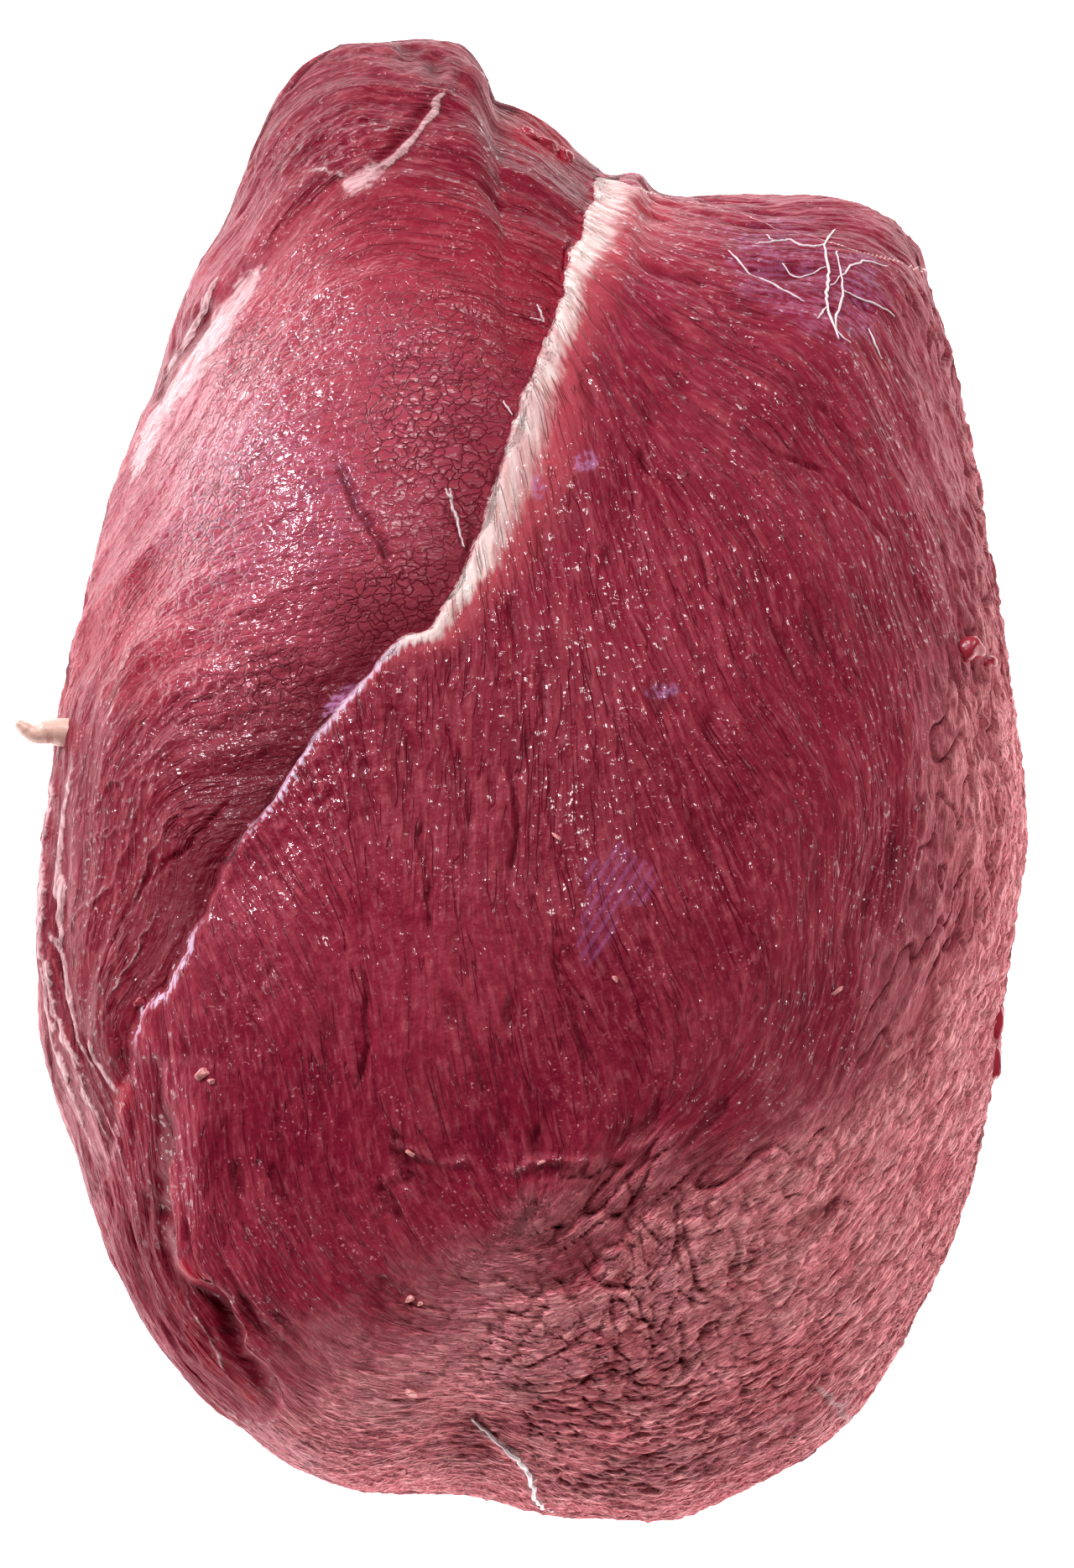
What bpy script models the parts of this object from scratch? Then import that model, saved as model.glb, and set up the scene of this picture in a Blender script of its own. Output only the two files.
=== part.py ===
"""A raw, boned venison knuckle: one piece of meat in which three muscles lie side by side.

Metres, +Z up. It lies on its underside with the shown face up; X is across the piece, +Y runs from
the rounded end to the pointed end, and the origin is on the table under the middle of the piece.

The form is a ball of directions mapped onto the meat. Its shown face is described in a plane that
leans SHOWN_TILT above the table: "across" is along X, "along" runs up the shown face, and "height"
stands square to that plane. Curves and places on the shown face are (across, along) in millimetres.
"""

import math

import bmesh
import bpy
import numpy as np

MM = 0.001

# Driving dimensions, in millimetres and degrees
SHOWN_TILT = 65.0  # the plane of the shown face faces a viewer this far above the table
CAP_HEIGHT = 46.5  # the shown face stands this far above its rim
BED_DEPTH = 44.0  # the underside reaches this far below the rim before the table presses it
RIM_SLOPE = 0.358  # the rim drops towards the far end as seen, so that it lies level on the table
CORE_HEIGHT = 36.0  # the middle of the rim stands this far above the table
TABLE_PRESS = 7.0  # rounding where the meat settles onto the table
SLICE = 1.0  # how far the pressed underside dips below the table before it is cut flat
CAP_FULLNESS = 2.0  # 2 is an ellipse; more is flatter on top with rounder shoulders
BED_FULLNESS = 2.5

# Outline of the shown face, clockwise from the far left shoulder
RIM = [
    (-41.0, 58.8), (-36.0, 68.2), (-32.3, 76.8), (-28.8, 82.8), (-24.0, 87.2), (-18.0, 88.8),
    (-9.0, 88.6), (-5.5, 84.8), (-4.4, 81.6), (0.8, 79.2), (8.4, 72.6), (13.5, 72.4),
    (17.0, 70.0), (33.0, 69.8), (41.0, 68.2), (45.6, 64.6), (48.4, 58.4), (54.4, 34.8),
    (58.0, 10.8), (59.4, -3.2), (58.8, -13.2), (55.6, -37.2), (48.2, -61.2), (36.0, -79.4),
    (19.0, -88.2), (3.0, -88.4), (-8.0, -86.0), (-21.5, -85.2), (-33.0, -79.2), (-45.2, -67.2),
    (-53.0, -48.4), (-58.2, -31.2), (-58.4, -9.0), (-53.0, 22.8), (-45.8, 46.8),
]  # fmt: skip

# The edge of the right muscle, which lies over the left one, from the far notch to the near left
SEAM = [
    (8.5, 72.3), (6.0, 63.8), (2.5, 52.8), (-1.0, 42.8), (-5.0, 30.8), (-8.5, 22.8),
    (-11.5, 17.6), (-16.0, 15.4), (-24.5, 5.8), (-32.0, -4.7), (-36.0, -11.2), (-41.5, -23.7),
    (-45.5, -29.2), (-47.2, -37.0), (-50.0, -46.0),
]  # fmt: skip
SEAM_STEP = [2.4, 6.0, 4.4, 5.6, 4.2, 1.6, 0.4]  # height of that edge, evenly spaced along it
SEAM_EDGE = 0.8  # half the width of the step
LIP_REACH = 15.0
VALLEY_REACH = 12.0
LIP_SHARE = 0.4  # of the step that the lip stands up; the rest is the valley's depth
LIP_ROUND = (1.1, 2.6)  # how deep and how far back the lip's edge is rounded off

# The line where the outer left muscle begins, from the tip down the left side
VEIN = [
    (-9.0, 83.3), (-17.5, 72.3), (-23.0, 70.3), (-28.5, 66.3), (-34.0, 58.3), (-44.0, 47.8),
    (-49.0, 30.8), (-53.5, 12.8), (-56.1, -17.6), (-54.0, -29.8), (-47.7, -38.4),
]  # fmt: skip
VEIN_GROOVE = (1.2, 1.5)  # depth and width

# The fold at the near left, an upper groove that opens into a pocket
FOLD = [
    (-42.8, -33.0), (-43.6, -48.6), (-41.8, -58.4), (-36.5, -62.5), (-34.8, -67.4),
    (-32.0, -71.5), (-28.3, -76.4),
]  # fmt: skip
FOLD_DEPTH = [0.4, 1.1, 1.6, 4.2, 3.6, 2.0, 0.4]
POCKET_REACH = 6.5
FOLD_LIP = 1.6

# The ridge that closes the tip, with the hollow end of the muscle beyond it
TIP_RIDGE = [(-24.0, 88.5), (-18.4, 85.7), (-13.9, 84.3), (-8.5, 83.2)]

# Round dents and swellings: across, along, radius across, radius along, turn in degrees, height
MOUNDS = [
    (-6.5, -76.5, 4.5, 5.0, 0.0, -2.6),  # the dimple that the near fibres run into
    (-3.0, -86.0, 3.0, 7.0, 25.0, -1.4),
    (13.0, -81.0, 11.0, 3.0, 10.0, -1.3),
    (-12.0, 87.0, 4.5, 2.0, -15.0, -2.6),  # the hollow beyond the tip's ridge
    (-29.5, 33.0, 13.0, 22.0, 12.0, 2.2),  # the crown of the left muscle
    (-33.0, -12.0, 7.0, 5.0, 40.0, -1.6),
    (-38.5, -45.0, 3.2, 11.0, -4.0, 1.5),
    (17.5, 68.0, 4.5, 3.5, 0.0, -1.4),
    (43.0, 58.0, 9.0, 8.0, -40.0, 1.6),
    (33.5, -52.7, 3.2, 1.2, 32.0, -1.3),
    (52.8, 14.3, 2.4, 1.8, 0.0, 2.6),  # nubs of meat on the right side
    (57.6, -33.0, 1.4, 4.6, -6.0, 2.0),
    (20.0, -20.0, 26.0, 34.0, 0.0, 1.4),
]

# Bundles of fibres that show as low ridges: their spacing and height
BUNDLE = (9.5, 0.5)
LEFT_FIBRE_CENTRE = (5.0, -37.0)  # the left muscle's fibres run round this place
FIBRE_POLES = ((-13.0, 74.0), (-6.5, -76.5))  # the right muscle's run from pole to pole
POLE_CLEAR = 40.0  # the bundles fade out this near a pole

# Seams between muscles on the underside and the side walls: depth, width, then the line
BED_SEAMS = [
    (2.2, 2.4, [(-16.0, 78.0), (6.0, 52.0), (27.0, 26.0), (41.0, -8.0), (38.0, -46.0), (18.0, -74.0)]),
    (1.8, 2.0, [(-30.0, 74.0), (-41.0, 38.0), (-50.0, 0.0), (-45.0, -38.0), (-24.0, -74.0)]),
]
BED_MOUNDS = [
    (33.0, 58.0, 15.0, 13.0, -30.0, -3.2),
    (-26.0, 66.0, 9.0, 16.0, 20.0, -2.4),
    (2.0, -74.0, 22.0, 9.0, 0.0, 2.4),
    (48.0, 12.0, 8.0, 24.0, 6.0, 1.8),
    (-50.0, -16.0, 7.0, 20.0, 6.0, 1.6),
]

# The tag of fat on the left side: its line in (across, along, height) and its radii
TAG = [(-52.0, 2.6, 1.0), (-57.0, 3.3, 1.8), (-59.3, 3.0, 2.2), (-61.4, 4.4, 2.6)]
TAG_RADII = [2.2, 1.7, 1.2, 0.5]

BALL_CUTS = 95  # the fine form has this many cuts along each side of its cube
TRIANGLES = 9400  # of the solid, after thinning


def curve_through(points, steps=10, closed=False):
    """Points along a smooth curve through the given ones."""
    p = np.array(points, float)
    count = len(p)
    ends = count if closed else count - 1
    index = np.arange(ends)
    if closed:
        before, start = p[index - 1], p[index]
        end, after = p[(index + 1) % count], p[(index + 2) % count]
    else:
        before, start = p[np.maximum(index - 1, 0)], p[index]
        end, after = p[index + 1], p[np.minimum(index + 2, count - 1)]
    t = np.linspace(0, 1, steps, endpoint=False)[None, :, None]
    before, start, end, after = (q[:, None, :] for q in (before, start, end, after))
    line = 0.5 * (
        2 * start
        + (end - before) * t
        + (2 * before - 5 * start + 4 * end - after) * t**2
        + (3 * start - before - 3 * end + after) * t**3
    )
    line = line.reshape(-1, p.shape[1])
    return line if closed else np.vstack([line, p[-1]])


def radius_table(outline):
    """The outline as (angles, radii) about the middle of the shown face, over a full turn."""
    line = curve_through(outline, closed=True)
    angles = np.arctan2(line[:, 1], line[:, 0])
    order = np.argsort(angles)
    angles, radii = angles[order], np.hypot(*line[order].T)
    turn = np.linspace(-math.pi, math.pi, 721)
    return turn, np.interp(turn, angles, radii, period=2 * math.pi)


def softened(radii, waves=4):
    """The outline's radii with only its broad shape left."""
    parts = np.fft.rfft(radii[:-1])
    parts[waves + 1 :] = 0
    soft = np.fft.irfft(parts, len(radii) - 1)
    return np.append(soft, soft[0])


def along_and_off(line, across, along):
    """For each place: its share of the way along the line, and its distance off, + to the right."""
    line = curve_through(line)
    starts, steps = line[:-1], np.diff(line, axis=0)
    lengths = np.hypot(*steps.T)
    reached = np.concatenate([[0], np.cumsum(lengths)])
    nearest = np.full(across.shape, np.inf)
    share = np.zeros_like(across)
    off = np.zeros_like(across)
    for start, step, length, done in zip(starts, steps, lengths, reached[:-1]):
        dx, dy = across - start[0], along - start[1]
        t = np.clip((dx * step[0] + dy * step[1]) / length**2, 0, 1)
        gap = np.hypot(dx - t * step[0], dy - t * step[1])
        side = np.where(dx * step[1] - dy * step[0] >= 0, 1.0, -1.0)
        closer = gap < nearest
        nearest = np.where(closer, gap, nearest)
        off = np.where(closer, side * gap, off)
        share = np.where(closer, (done + t * length) / reached[-1], share)
    return share, off


def evenly(values, share):
    return np.interp(share, np.linspace(0, 1, len(values)), values)


def ramp(x):
    x = np.clip(x, 0, 1)
    return x * x * (3 - 2 * x)


def bell(x, width):
    return np.exp(-((x / width) ** 2))


def ends_of(share):
    """1 along a line, fading to 0 past its ends."""
    return ramp(share / 0.04) * ramp((1 - share) / 0.04)


def seam_relief(across, along):
    """The right muscle's edge stands over the left muscle, which dips beside it."""
    share, off = along_and_off(SEAM, across, along)
    off = -off
    step = evenly(SEAM_STEP, share)
    over = ramp((off + SEAM_EDGE) / (2 * SEAM_EDGE))
    lip = LIP_SHARE * step * bell(off, LIP_REACH)
    deep, back = LIP_ROUND
    lip -= deep * (step / max(SEAM_STEP)) * np.clip(1 - off / back, 0, 1) ** 2
    valley = (1 - LIP_SHARE) * step * bell(off, VALLEY_REACH)
    return over * lip - (1 - over) * valley, over


def fold_relief(across, along):
    """A lip on the right of the fold and a pocket on its left."""
    share, off = along_and_off(FOLD, across, along)
    off = -off
    depth = evenly(FOLD_DEPTH, share) * ends_of(share)
    over = ramp((off + SEAM_EDGE) / (2 * SEAM_EDGE))
    lip = depth / max(FOLD_DEPTH) * FOLD_LIP * bell(off, POCKET_REACH)
    return over * lip - (1 - over) * depth * bell(off, POCKET_REACH)


def vein_relief(across, along):
    depth, width = VEIN_GROOVE
    share, off = along_and_off(VEIN, across, along)
    return ends_of(share) * (0.6 * bell(off - 1.5 * width, width) - depth * bell(off, width))


def tip_relief(across, along):
    share, off = along_and_off(TIP_RIDGE, across, along)
    return ends_of(share) * 1.3 * bell(off, 1.6)


def mound_relief(across, along, mounds):
    total = np.zeros_like(across)
    for x, y, wide, long, turn, height in mounds:
        c, s = math.cos(math.radians(turn)), math.sin(math.radians(turn))
        dx, dy = across - x, along - y
        total += height * bell(np.hypot((c * dx + s * dy) / wide, (c * dy - s * dx) / long), 1.0)
    return total


def bed_relief(across, along):
    total = mound_relief(across, along, BED_MOUNDS)
    for depth, width, line in BED_SEAMS:
        share, off = along_and_off(line, across, along)
        total -= depth * ends_of(share) * bell(off, width)
    return total


def bundle_relief(across, along, over):
    """Low ridges along the fibres: round one centre on the left, from pole to pole on the right."""
    spacing, height = BUNDLE
    (ax, ay), (bx, by) = FIBRE_POLES
    far = np.arctan2(along - ay, across - ax)
    near = np.arctan2(along - by, across - bx)
    right = np.unwrap(np.stack([far, near]), axis=0)
    right = (right[1] - right[0]) * math.hypot(ax - bx, ay - by) / 2
    left = np.hypot(across - LEFT_FIBRE_CENTRE[0], along - LEFT_FIBRE_CENTRE[1])
    wander = 1.3 * np.sin(along / 13.0 + across / 21.0) + 0.8 * np.sin(across / 7.0 - along / 17.0)
    strand = np.where(over > 0.5, right, left) + wander
    ridge = np.cos(2 * math.pi * strand / spacing) + 0.4 * np.cos(3.7 * math.pi * strand / spacing)
    clear = ramp(np.hypot(across - ax, along - ay) / POLE_CLEAR)
    clear *= ramp(np.hypot(across - bx, along - by) / POLE_CLEAR)
    return height * clear * ridge * (0.6 + 0.4 * np.sin(along / 11.0 - across / 9.0))


def to_world(across, along, height):
    """From the leaning plane of the shown face to the table's X, Y and Z, in millimetres."""
    c, s = math.cos(math.radians(SHOWN_TILT)), math.sin(math.radians(SHOWN_TILT))
    return np.stack([across, along * s - height * c, along * c + height * s + CORE_HEIGHT], axis=-1)


def on_table(points):
    """The underside is pressed to just below the table's level, with a rounded edge."""
    z = points[:, 2] + SLICE
    points[:, 2] = 0.5 * (z + np.sqrt(z * z + TABLE_PRESS**2)) - SLICE
    settled = 0.5 * (np.sqrt(SLICE**2 + TABLE_PRESS**2) + SLICE)
    points[:, 2] -= settled
    points[:, 2] = np.where(points[:, 2] < 0, points[:, 2] * SLICE / settled, points[:, 2])
    return points


def meat_surface(directions):
    """Maps directions on a ball, whose pole faces the viewer, onto the meat, in millimetres."""
    x, y, z = directions.T
    turn, radii = radius_table(RIM)
    angle, spread = np.arctan2(y, x), np.clip(np.hypot(x, y), 0, 1)
    rim = np.interp(angle, turn, radii)
    broad = np.interp(angle, turn, softened(radii))
    reach = spread * (broad + (rim - broad) * spread**3)
    across, along = reach * np.cos(angle), reach * np.sin(angle)
    shown = z >= 0
    fullness = np.where(shown, CAP_FULLNESS, BED_FULLNESS)
    rise = (1 - spread**fullness) ** (1 / fullness)
    height = -RIM_SLOPE * along + np.where(shown, CAP_HEIGHT, -BED_DEPTH) * rise
    step, over = seam_relief(across, along)
    relief = step + fold_relief(across, along) + vein_relief(across, along)
    relief += tip_relief(across, along) + mound_relief(across, along, MOUNDS)
    relief += bundle_relief(across, along, over)
    height += np.where(shown, relief, -bed_relief(across, along)) * ramp(rise / 0.25)
    return on_table(to_world(across, along, height))


def ball(cuts):
    """A cube cut into squares and rounded into a ball, as an open bmesh."""
    bm = bmesh.new()
    bmesh.ops.create_cube(bm, size=2.0)
    bmesh.ops.subdivide_edges(bm, edges=bm.edges[:], cuts=cuts, use_grid_fill=True)
    corners = np.array([v.co for v in bm.verts])
    squares = corners**2
    others = squares[:, [1, 2, 0]], squares[:, [2, 0, 1]]
    round_off = 1 - others[0] / 2 - others[1] / 2 + others[0] * others[1] / 3
    return bm, corners * np.sqrt(round_off)


def new_object(name, mesh, collection):
    made = bpy.data.objects.new(name, mesh)
    collection.objects.link(made)
    return made


def new_collection(name):
    made = bpy.data.collections.new(name)
    bpy.context.scene.collection.children.link(made)
    return made


def flesh_material():
    material = bpy.data.materials.new("raw_meat")
    material.use_nodes = True
    shader = material.node_tree.nodes["Principled BSDF"]
    shader.inputs["Base Color"].default_value = (0.24, 0.032, 0.05, 1)
    shader.inputs["Roughness"].default_value = 0.38
    shader.inputs["Metallic"].default_value = 0.0
    return material


def build_tag(collection):
    """The tag of fat: a tapered tube with welded caps, as a closed mesh."""
    curve = bpy.data.curves.new("fat_tag_line", "CURVE")
    curve.dimensions = "3D"
    curve.bevel_depth = MM
    curve.bevel_resolution = 2
    curve.use_fill_caps = True
    spline = curve.splines.new("POLY")
    line = np.array(TAG)
    places = to_world(*line.T) * MM
    spline.points.add(len(places) - 1)
    for point, place, radius in zip(spline.points, places, TAG_RADII):
        point.co = (*place, 1)
        point.radius = radius
    guide = new_object("fat_tag_line", curve, collection)
    graph = bpy.context.evaluated_depsgraph_get()
    mesh = bpy.data.meshes.new_from_object(guide.evaluated_get(graph))
    bm = bmesh.new()
    bm.from_mesh(mesh)
    bmesh.ops.remove_doubles(bm, verts=bm.verts, dist=0.00001)
    bmesh.ops.recalc_face_normals(bm, faces=bm.faces)
    bm.to_mesh(mesh)
    bm.free()
    tag = new_object("fat_tag", mesh, collection)
    tag.matrix_world = guide.matrix_world
    bpy.data.objects.remove(guide)
    return tag


def build_table_cutter(collection):
    """Everything under the table's level, which slices the underside flat."""
    size = 0.3
    bm = bmesh.new()
    bmesh.ops.create_cube(bm, size=size)
    mesh = bpy.data.meshes.new("table_cutter")
    bm.to_mesh(mesh)
    bm.free()
    cutter = new_object("table_cutter", mesh, collection)
    cutter.location.z = -size / 2
    return cutter


def build_knuckle(collection, helpers):
    bm, directions = ball(BALL_CUTS)
    places = meat_surface(directions) * MM
    for vertex, place in zip(bm.verts, places):
        vertex.co = place
    bmesh.ops.recalc_face_normals(bm, faces=bm.faces)
    faces = 2 * len(bm.faces)
    mesh = bpy.data.meshes.new("knuckle")
    bm.to_mesh(mesh)
    bm.free()
    mesh.shade_smooth()
    mesh.materials.append(flesh_material())
    knuckle = new_object("knuckle", mesh, collection)
    thin = knuckle.modifiers.new("thin_out", "DECIMATE")
    thin.ratio = TRIANGLES / faces
    join = knuckle.modifiers.new("join_tag", "BOOLEAN")
    join.operation = "UNION"
    join.object = build_tag(helpers)
    cut = knuckle.modifiers.new("flat_foot", "BOOLEAN")
    cut.operation = "DIFFERENCE"
    cut.object = build_table_cutter(helpers)
    return knuckle


def centre_over_origin(knuckle, helpers):
    """Moves everything so that the origin is under the middle of the finished piece's box."""
    finished = knuckle.evaluated_get(bpy.context.evaluated_depsgraph_get()).to_mesh()
    places = np.array([v.co for v in finished.vertices])
    middle = (places.min(axis=0) + places.max(axis=0)) / 2
    for made in (knuckle, *helpers):
        made.location.x -= middle[0]
        made.location.y -= middle[1]


def main():
    for old in list(bpy.data.objects):
        bpy.data.objects.remove(old)
    collection = new_collection("venison_knuckle")
    helpers = new_collection("helpers")
    knuckle = build_knuckle(collection, helpers)
    for helper in helpers.objects:
        helper.hide_render = True
        helper.display_type = "WIRE"
    centre_over_origin(knuckle, helpers.objects)


main()
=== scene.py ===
"""The looks of a raw, boned venison knuckle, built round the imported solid.

Places on the shown face are (across, along) in millimetres, on a plane that leans SHOWN_TILT above
the table, with height standing square to it. The same form as the solid's is made on a finer ball
of directions, and the fibres, cracks and wet film are worked out on an unrolled sheet of it.
"""

import math

import bmesh
import bpy
import numpy as np
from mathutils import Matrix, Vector
from mathutils.kdtree import KDTree


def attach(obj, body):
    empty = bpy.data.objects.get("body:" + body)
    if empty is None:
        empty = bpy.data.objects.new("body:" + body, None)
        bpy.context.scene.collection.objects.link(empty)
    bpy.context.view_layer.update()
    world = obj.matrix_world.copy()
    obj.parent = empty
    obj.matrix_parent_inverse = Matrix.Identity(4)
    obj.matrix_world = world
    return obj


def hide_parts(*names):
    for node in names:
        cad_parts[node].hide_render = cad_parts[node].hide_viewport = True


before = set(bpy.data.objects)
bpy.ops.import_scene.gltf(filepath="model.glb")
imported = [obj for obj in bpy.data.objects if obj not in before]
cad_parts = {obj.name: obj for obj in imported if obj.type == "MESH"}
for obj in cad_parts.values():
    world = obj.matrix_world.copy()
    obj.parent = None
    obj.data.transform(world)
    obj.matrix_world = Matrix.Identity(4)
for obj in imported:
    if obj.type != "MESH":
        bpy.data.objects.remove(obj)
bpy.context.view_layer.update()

MM = 0.001


def add_object(name, data):
    made = bpy.data.objects.new(name, data)
    bpy.context.scene.collection.objects.link(made)
    return made


# The solid's form, in millimetres and degrees
SHOWN_TILT = 65.0
CAP_HEIGHT = 46.5
BED_DEPTH = 44.0
RIM_SLOPE = 0.358
CORE_HEIGHT = 36.0
TABLE_PRESS = 7.0
SLICE = 1.0
CAP_FULLNESS = 2.0
BED_FULLNESS = 2.5
BOX_MIDDLE = (-1.126, 0.588)  # the table's origin is under the middle of the solid's box

RIM = [
    (-41, 58.8), (-36, 68.2), (-32.3, 76.8), (-28.8, 82.8), (-24, 87.2), (-18, 88.8),
    (-9, 88.6), (-5.5, 84.8), (-4.4, 81.6), (0.8, 79.2), (8.4, 72.6), (13.5, 72.4),
    (17, 70), (33, 69.8), (41, 68.2), (45.6, 64.6), (48.4, 58.4), (54.4, 34.8),
    (58, 10.8), (59.4, -3.2), (58.8, -13.2), (55.6, -37.2), (48.2, -61.2), (36, -79.4),
    (19, -88.2), (3, -88.4), (-8, -86), (-21.5, -85.2), (-33, -79.2), (-45.2, -67.2),
    (-53, -48.4), (-58.2, -31.2), (-58.4, -9), (-53, 22.8), (-45.8, 46.8),
]  # fmt: skip
SEAM = [
    (8.5, 72.3), (6, 63.8), (2.5, 52.8), (-1, 42.8), (-5, 30.8), (-8.5, 22.8),
    (-11.5, 17.6), (-16, 15.4), (-24.5, 5.8), (-32, -4.7), (-36, -11.2), (-41.5, -23.7),
    (-45.5, -29.2), (-47.2, -37), (-50, -46),
]  # fmt: skip
SEAM_STEP = [2.4, 6, 4.6, 5.8, 5, 3.2, 1.2]
SEAM_EDGE = 0.45
LIP_REACH = 15.0
VALLEY_REACH = 12.0
LIP_SHARE = 0.4
LIP_ROUND = (0.4, 1.3)
VEIN = [
    (-9, 83.3), (-17.5, 72.3), (-23, 70.3), (-28.5, 66.3), (-34, 58.3), (-44, 47.8),
    (-49, 30.8), (-53.5, 12.8), (-56.1, -17.6), (-54, -29.8), (-47.7, -38.4),
]  # fmt: skip
VEIN_GROOVE = (1.2, 1.5)  # depth and half width
FOLD = [
    (-42.8, -33), (-43.6, -48.6), (-41.8, -58.4), (-36.5, -62.5), (-34.8, -67.4),
    (-32, -71.5), (-28.3, -76.4),
]  # fmt: skip
FOLD_DEPTH = [0.8, 1.7, 2.2, 4.6, 4, 2.4, 0.6]
POCKET_REACH = 6.5
FOLD_LIP = 2.0
# The gap is painted shadow under the fold's lip.
FOLD_GAP = (0.7, 0.75)  # the dark gap's distance from the fold, and its half width
TIP_RIDGE_SIZE = (1.3, 1.6)
TIP_RIDGE = [(-24, 88.5), (-18.4, 85.7), (-13.9, 84.3), (-8.5, 83.2)]

# Dents and swellings: across, along, radius across, radius along, turn in degrees, height
MOUNDS = [
    (-6.5, -76.5, 4.5, 5, 0, -2.6),
    (-3, -86, 3, 7, 25, -1.4),
    (13, -81, 11, 3, 10, -1.3),
    (-12, 87, 4.5, 2, -15, -2.6),
    (-29.5, 33, 13, 22, 12, 2.2),
    (-33, -12, 7, 5, 40, -1.6),
    (-38.5, -45, 3.2, 11, -4, 1.5),
    (17.5, 68, 4.5, 3.5, 0, -1.4),
    (43, 58, 9, 8, -40, 1.6),
    (33.5, -52.7, 3.2, 1.2, 32, -1.3),
    (52.8, 14.3, 2.4, 1.8, 0, 2.6),
    (57.6, -33, 1.4, 4.6, -6, 2),
    (20, -20, 26, 34, 0, 1.4),
]
BED_SEAMS = [
    (2.2, 2.4, [(-16, 78), (6, 52), (27, 26), (41, -8), (38, -46), (18, -74)]),
    (1.8, 2, [(-30, 74), (-41, 38), (-50, 0), (-45, -38), (-24, -74)]),
]
BED_MOUNDS = [
    (33, 58, 15, 13, -30, -3.2),
    (-26, 66, 9, 16, 20, -2.4),
    (2, -74, 22, 9, 0, 2.4),
    (48, 12, 8, 24, 6, 1.8),
    (-50, -16, 7, 20, 6, 1.6),
]

# Which way the fibres and wrinkles run: across, along, angle in degrees from the across axis
GRAIN_RIGHT = [
    (12, 69, 140), (18, 60, 135), (31, 60, 155), (40, 65, 140), (27, 42, 135), (7, 51, 112),
    (4, 33, 98), (47, 51, 132), (52, 37, 122), (54, 23, 105), (54, 3, 92), (54, -12, 85),
    (52, -32, 68), (27, 15, 115), (27, 3, 120), (-3, 3, 92), (-3, -37, 103), (9, -27, 110),
    (23, -17, 112), (36, -21, 90), (40, -17, 80), (48, -26, 70), (37, -32, 65), (42, -40, 60),
    (26, -47, 35), (37, -52, 48), (47, -52, 58), (13, -57, 48), (27, -57, 25), (7, -66, 28),
    (19, -67, 28), (-3, -66, 0), (37, -67, 40), (11, -80, 0), (22, -84, 25), (2, -84, 160),
    (-13, -52, 120), (-23, -63, 135), (-17, -71, 165), (-28, -71, 145), (-37, -61, 132),
    (-41, -52, 95), (-32, -57, 115), (-33, -72, 135), (-15, -80, 0), (-14, -30, 95),
    (-9, -7, 90), (-32, -12, 120), (-28, -30, 110), (-23, -42, 97), (-41, -40, 93), (-45, -63, 125),
]  # fmt: skip
GRAIN_LEFT = [
    (-13, 69, 0), (-3, 69, 172), (-23, 69, 25), (-35, 69, 35), (-37, 60, 45), (-40, 51, 50),
    (-44, 42, 60), (-48, 29, 65), (-50, 19, 65), (-45, 6, 58), (-54, 3, 80), (-54, -12, 85),
    (-55, -27, 100), (-52, -40, 112), (-32, 24, 15), (-23, 15, 10), (-37, 16, 15), (-37, 6, 10),
    (-28, 6, 10), (-36, -3, 15), (-45, -12, 80), (-50, -17, 70), (-45, -25, 55), (-18, 51, 0),
    (-3, 60, 165), (-18, 33, 175), (-28, 33, 10), (-43, 28, 60), (-39, 37, 70), (-28, 83, 30),
    (-19, 83, 10), (-9, 78, 0), (-14, 87, 150), (1, 74, 165),
]  # fmt: skip

# Where the dull outer membrane begins, clockwise from the far right corner; it lies outside
FILM_EDGE = [
    (49, 75), (52.5, 52.8), (54, 32.8), (53, 12.8), (50.5, -7.2), (47, -22.2),
    (42, -34.2), (32, -41.2), (22, -45.2), (13, -47.7), (6, -52.2), (1, -58.2),
    (-8, -63.2), (-18, -66.2), (-26, -70), (-34, -76), (-50, -90),
]  # fmt: skip
FILM_BLEND = 15  # how wide its torn border is

# The pale edge's width, and how dark the painted shade in the dip beside it is, along the seam
# from the far notch
FASCIA_WIDTH = [6.4, 3.6, 3, 5, 4.2, 2.2, 1, 0.9, 0.4, 0, 0.9, 0, 0]
VALLEY_SHADE = [0.2, 0.3, 0.5, 0.6, 0.7, 0.9, 1, 1, 1, 0.9, 0.6, 0.3, 0]
VALLEY_WIDTH = 6.5
DRY_WIDTH = 16.0

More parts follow.
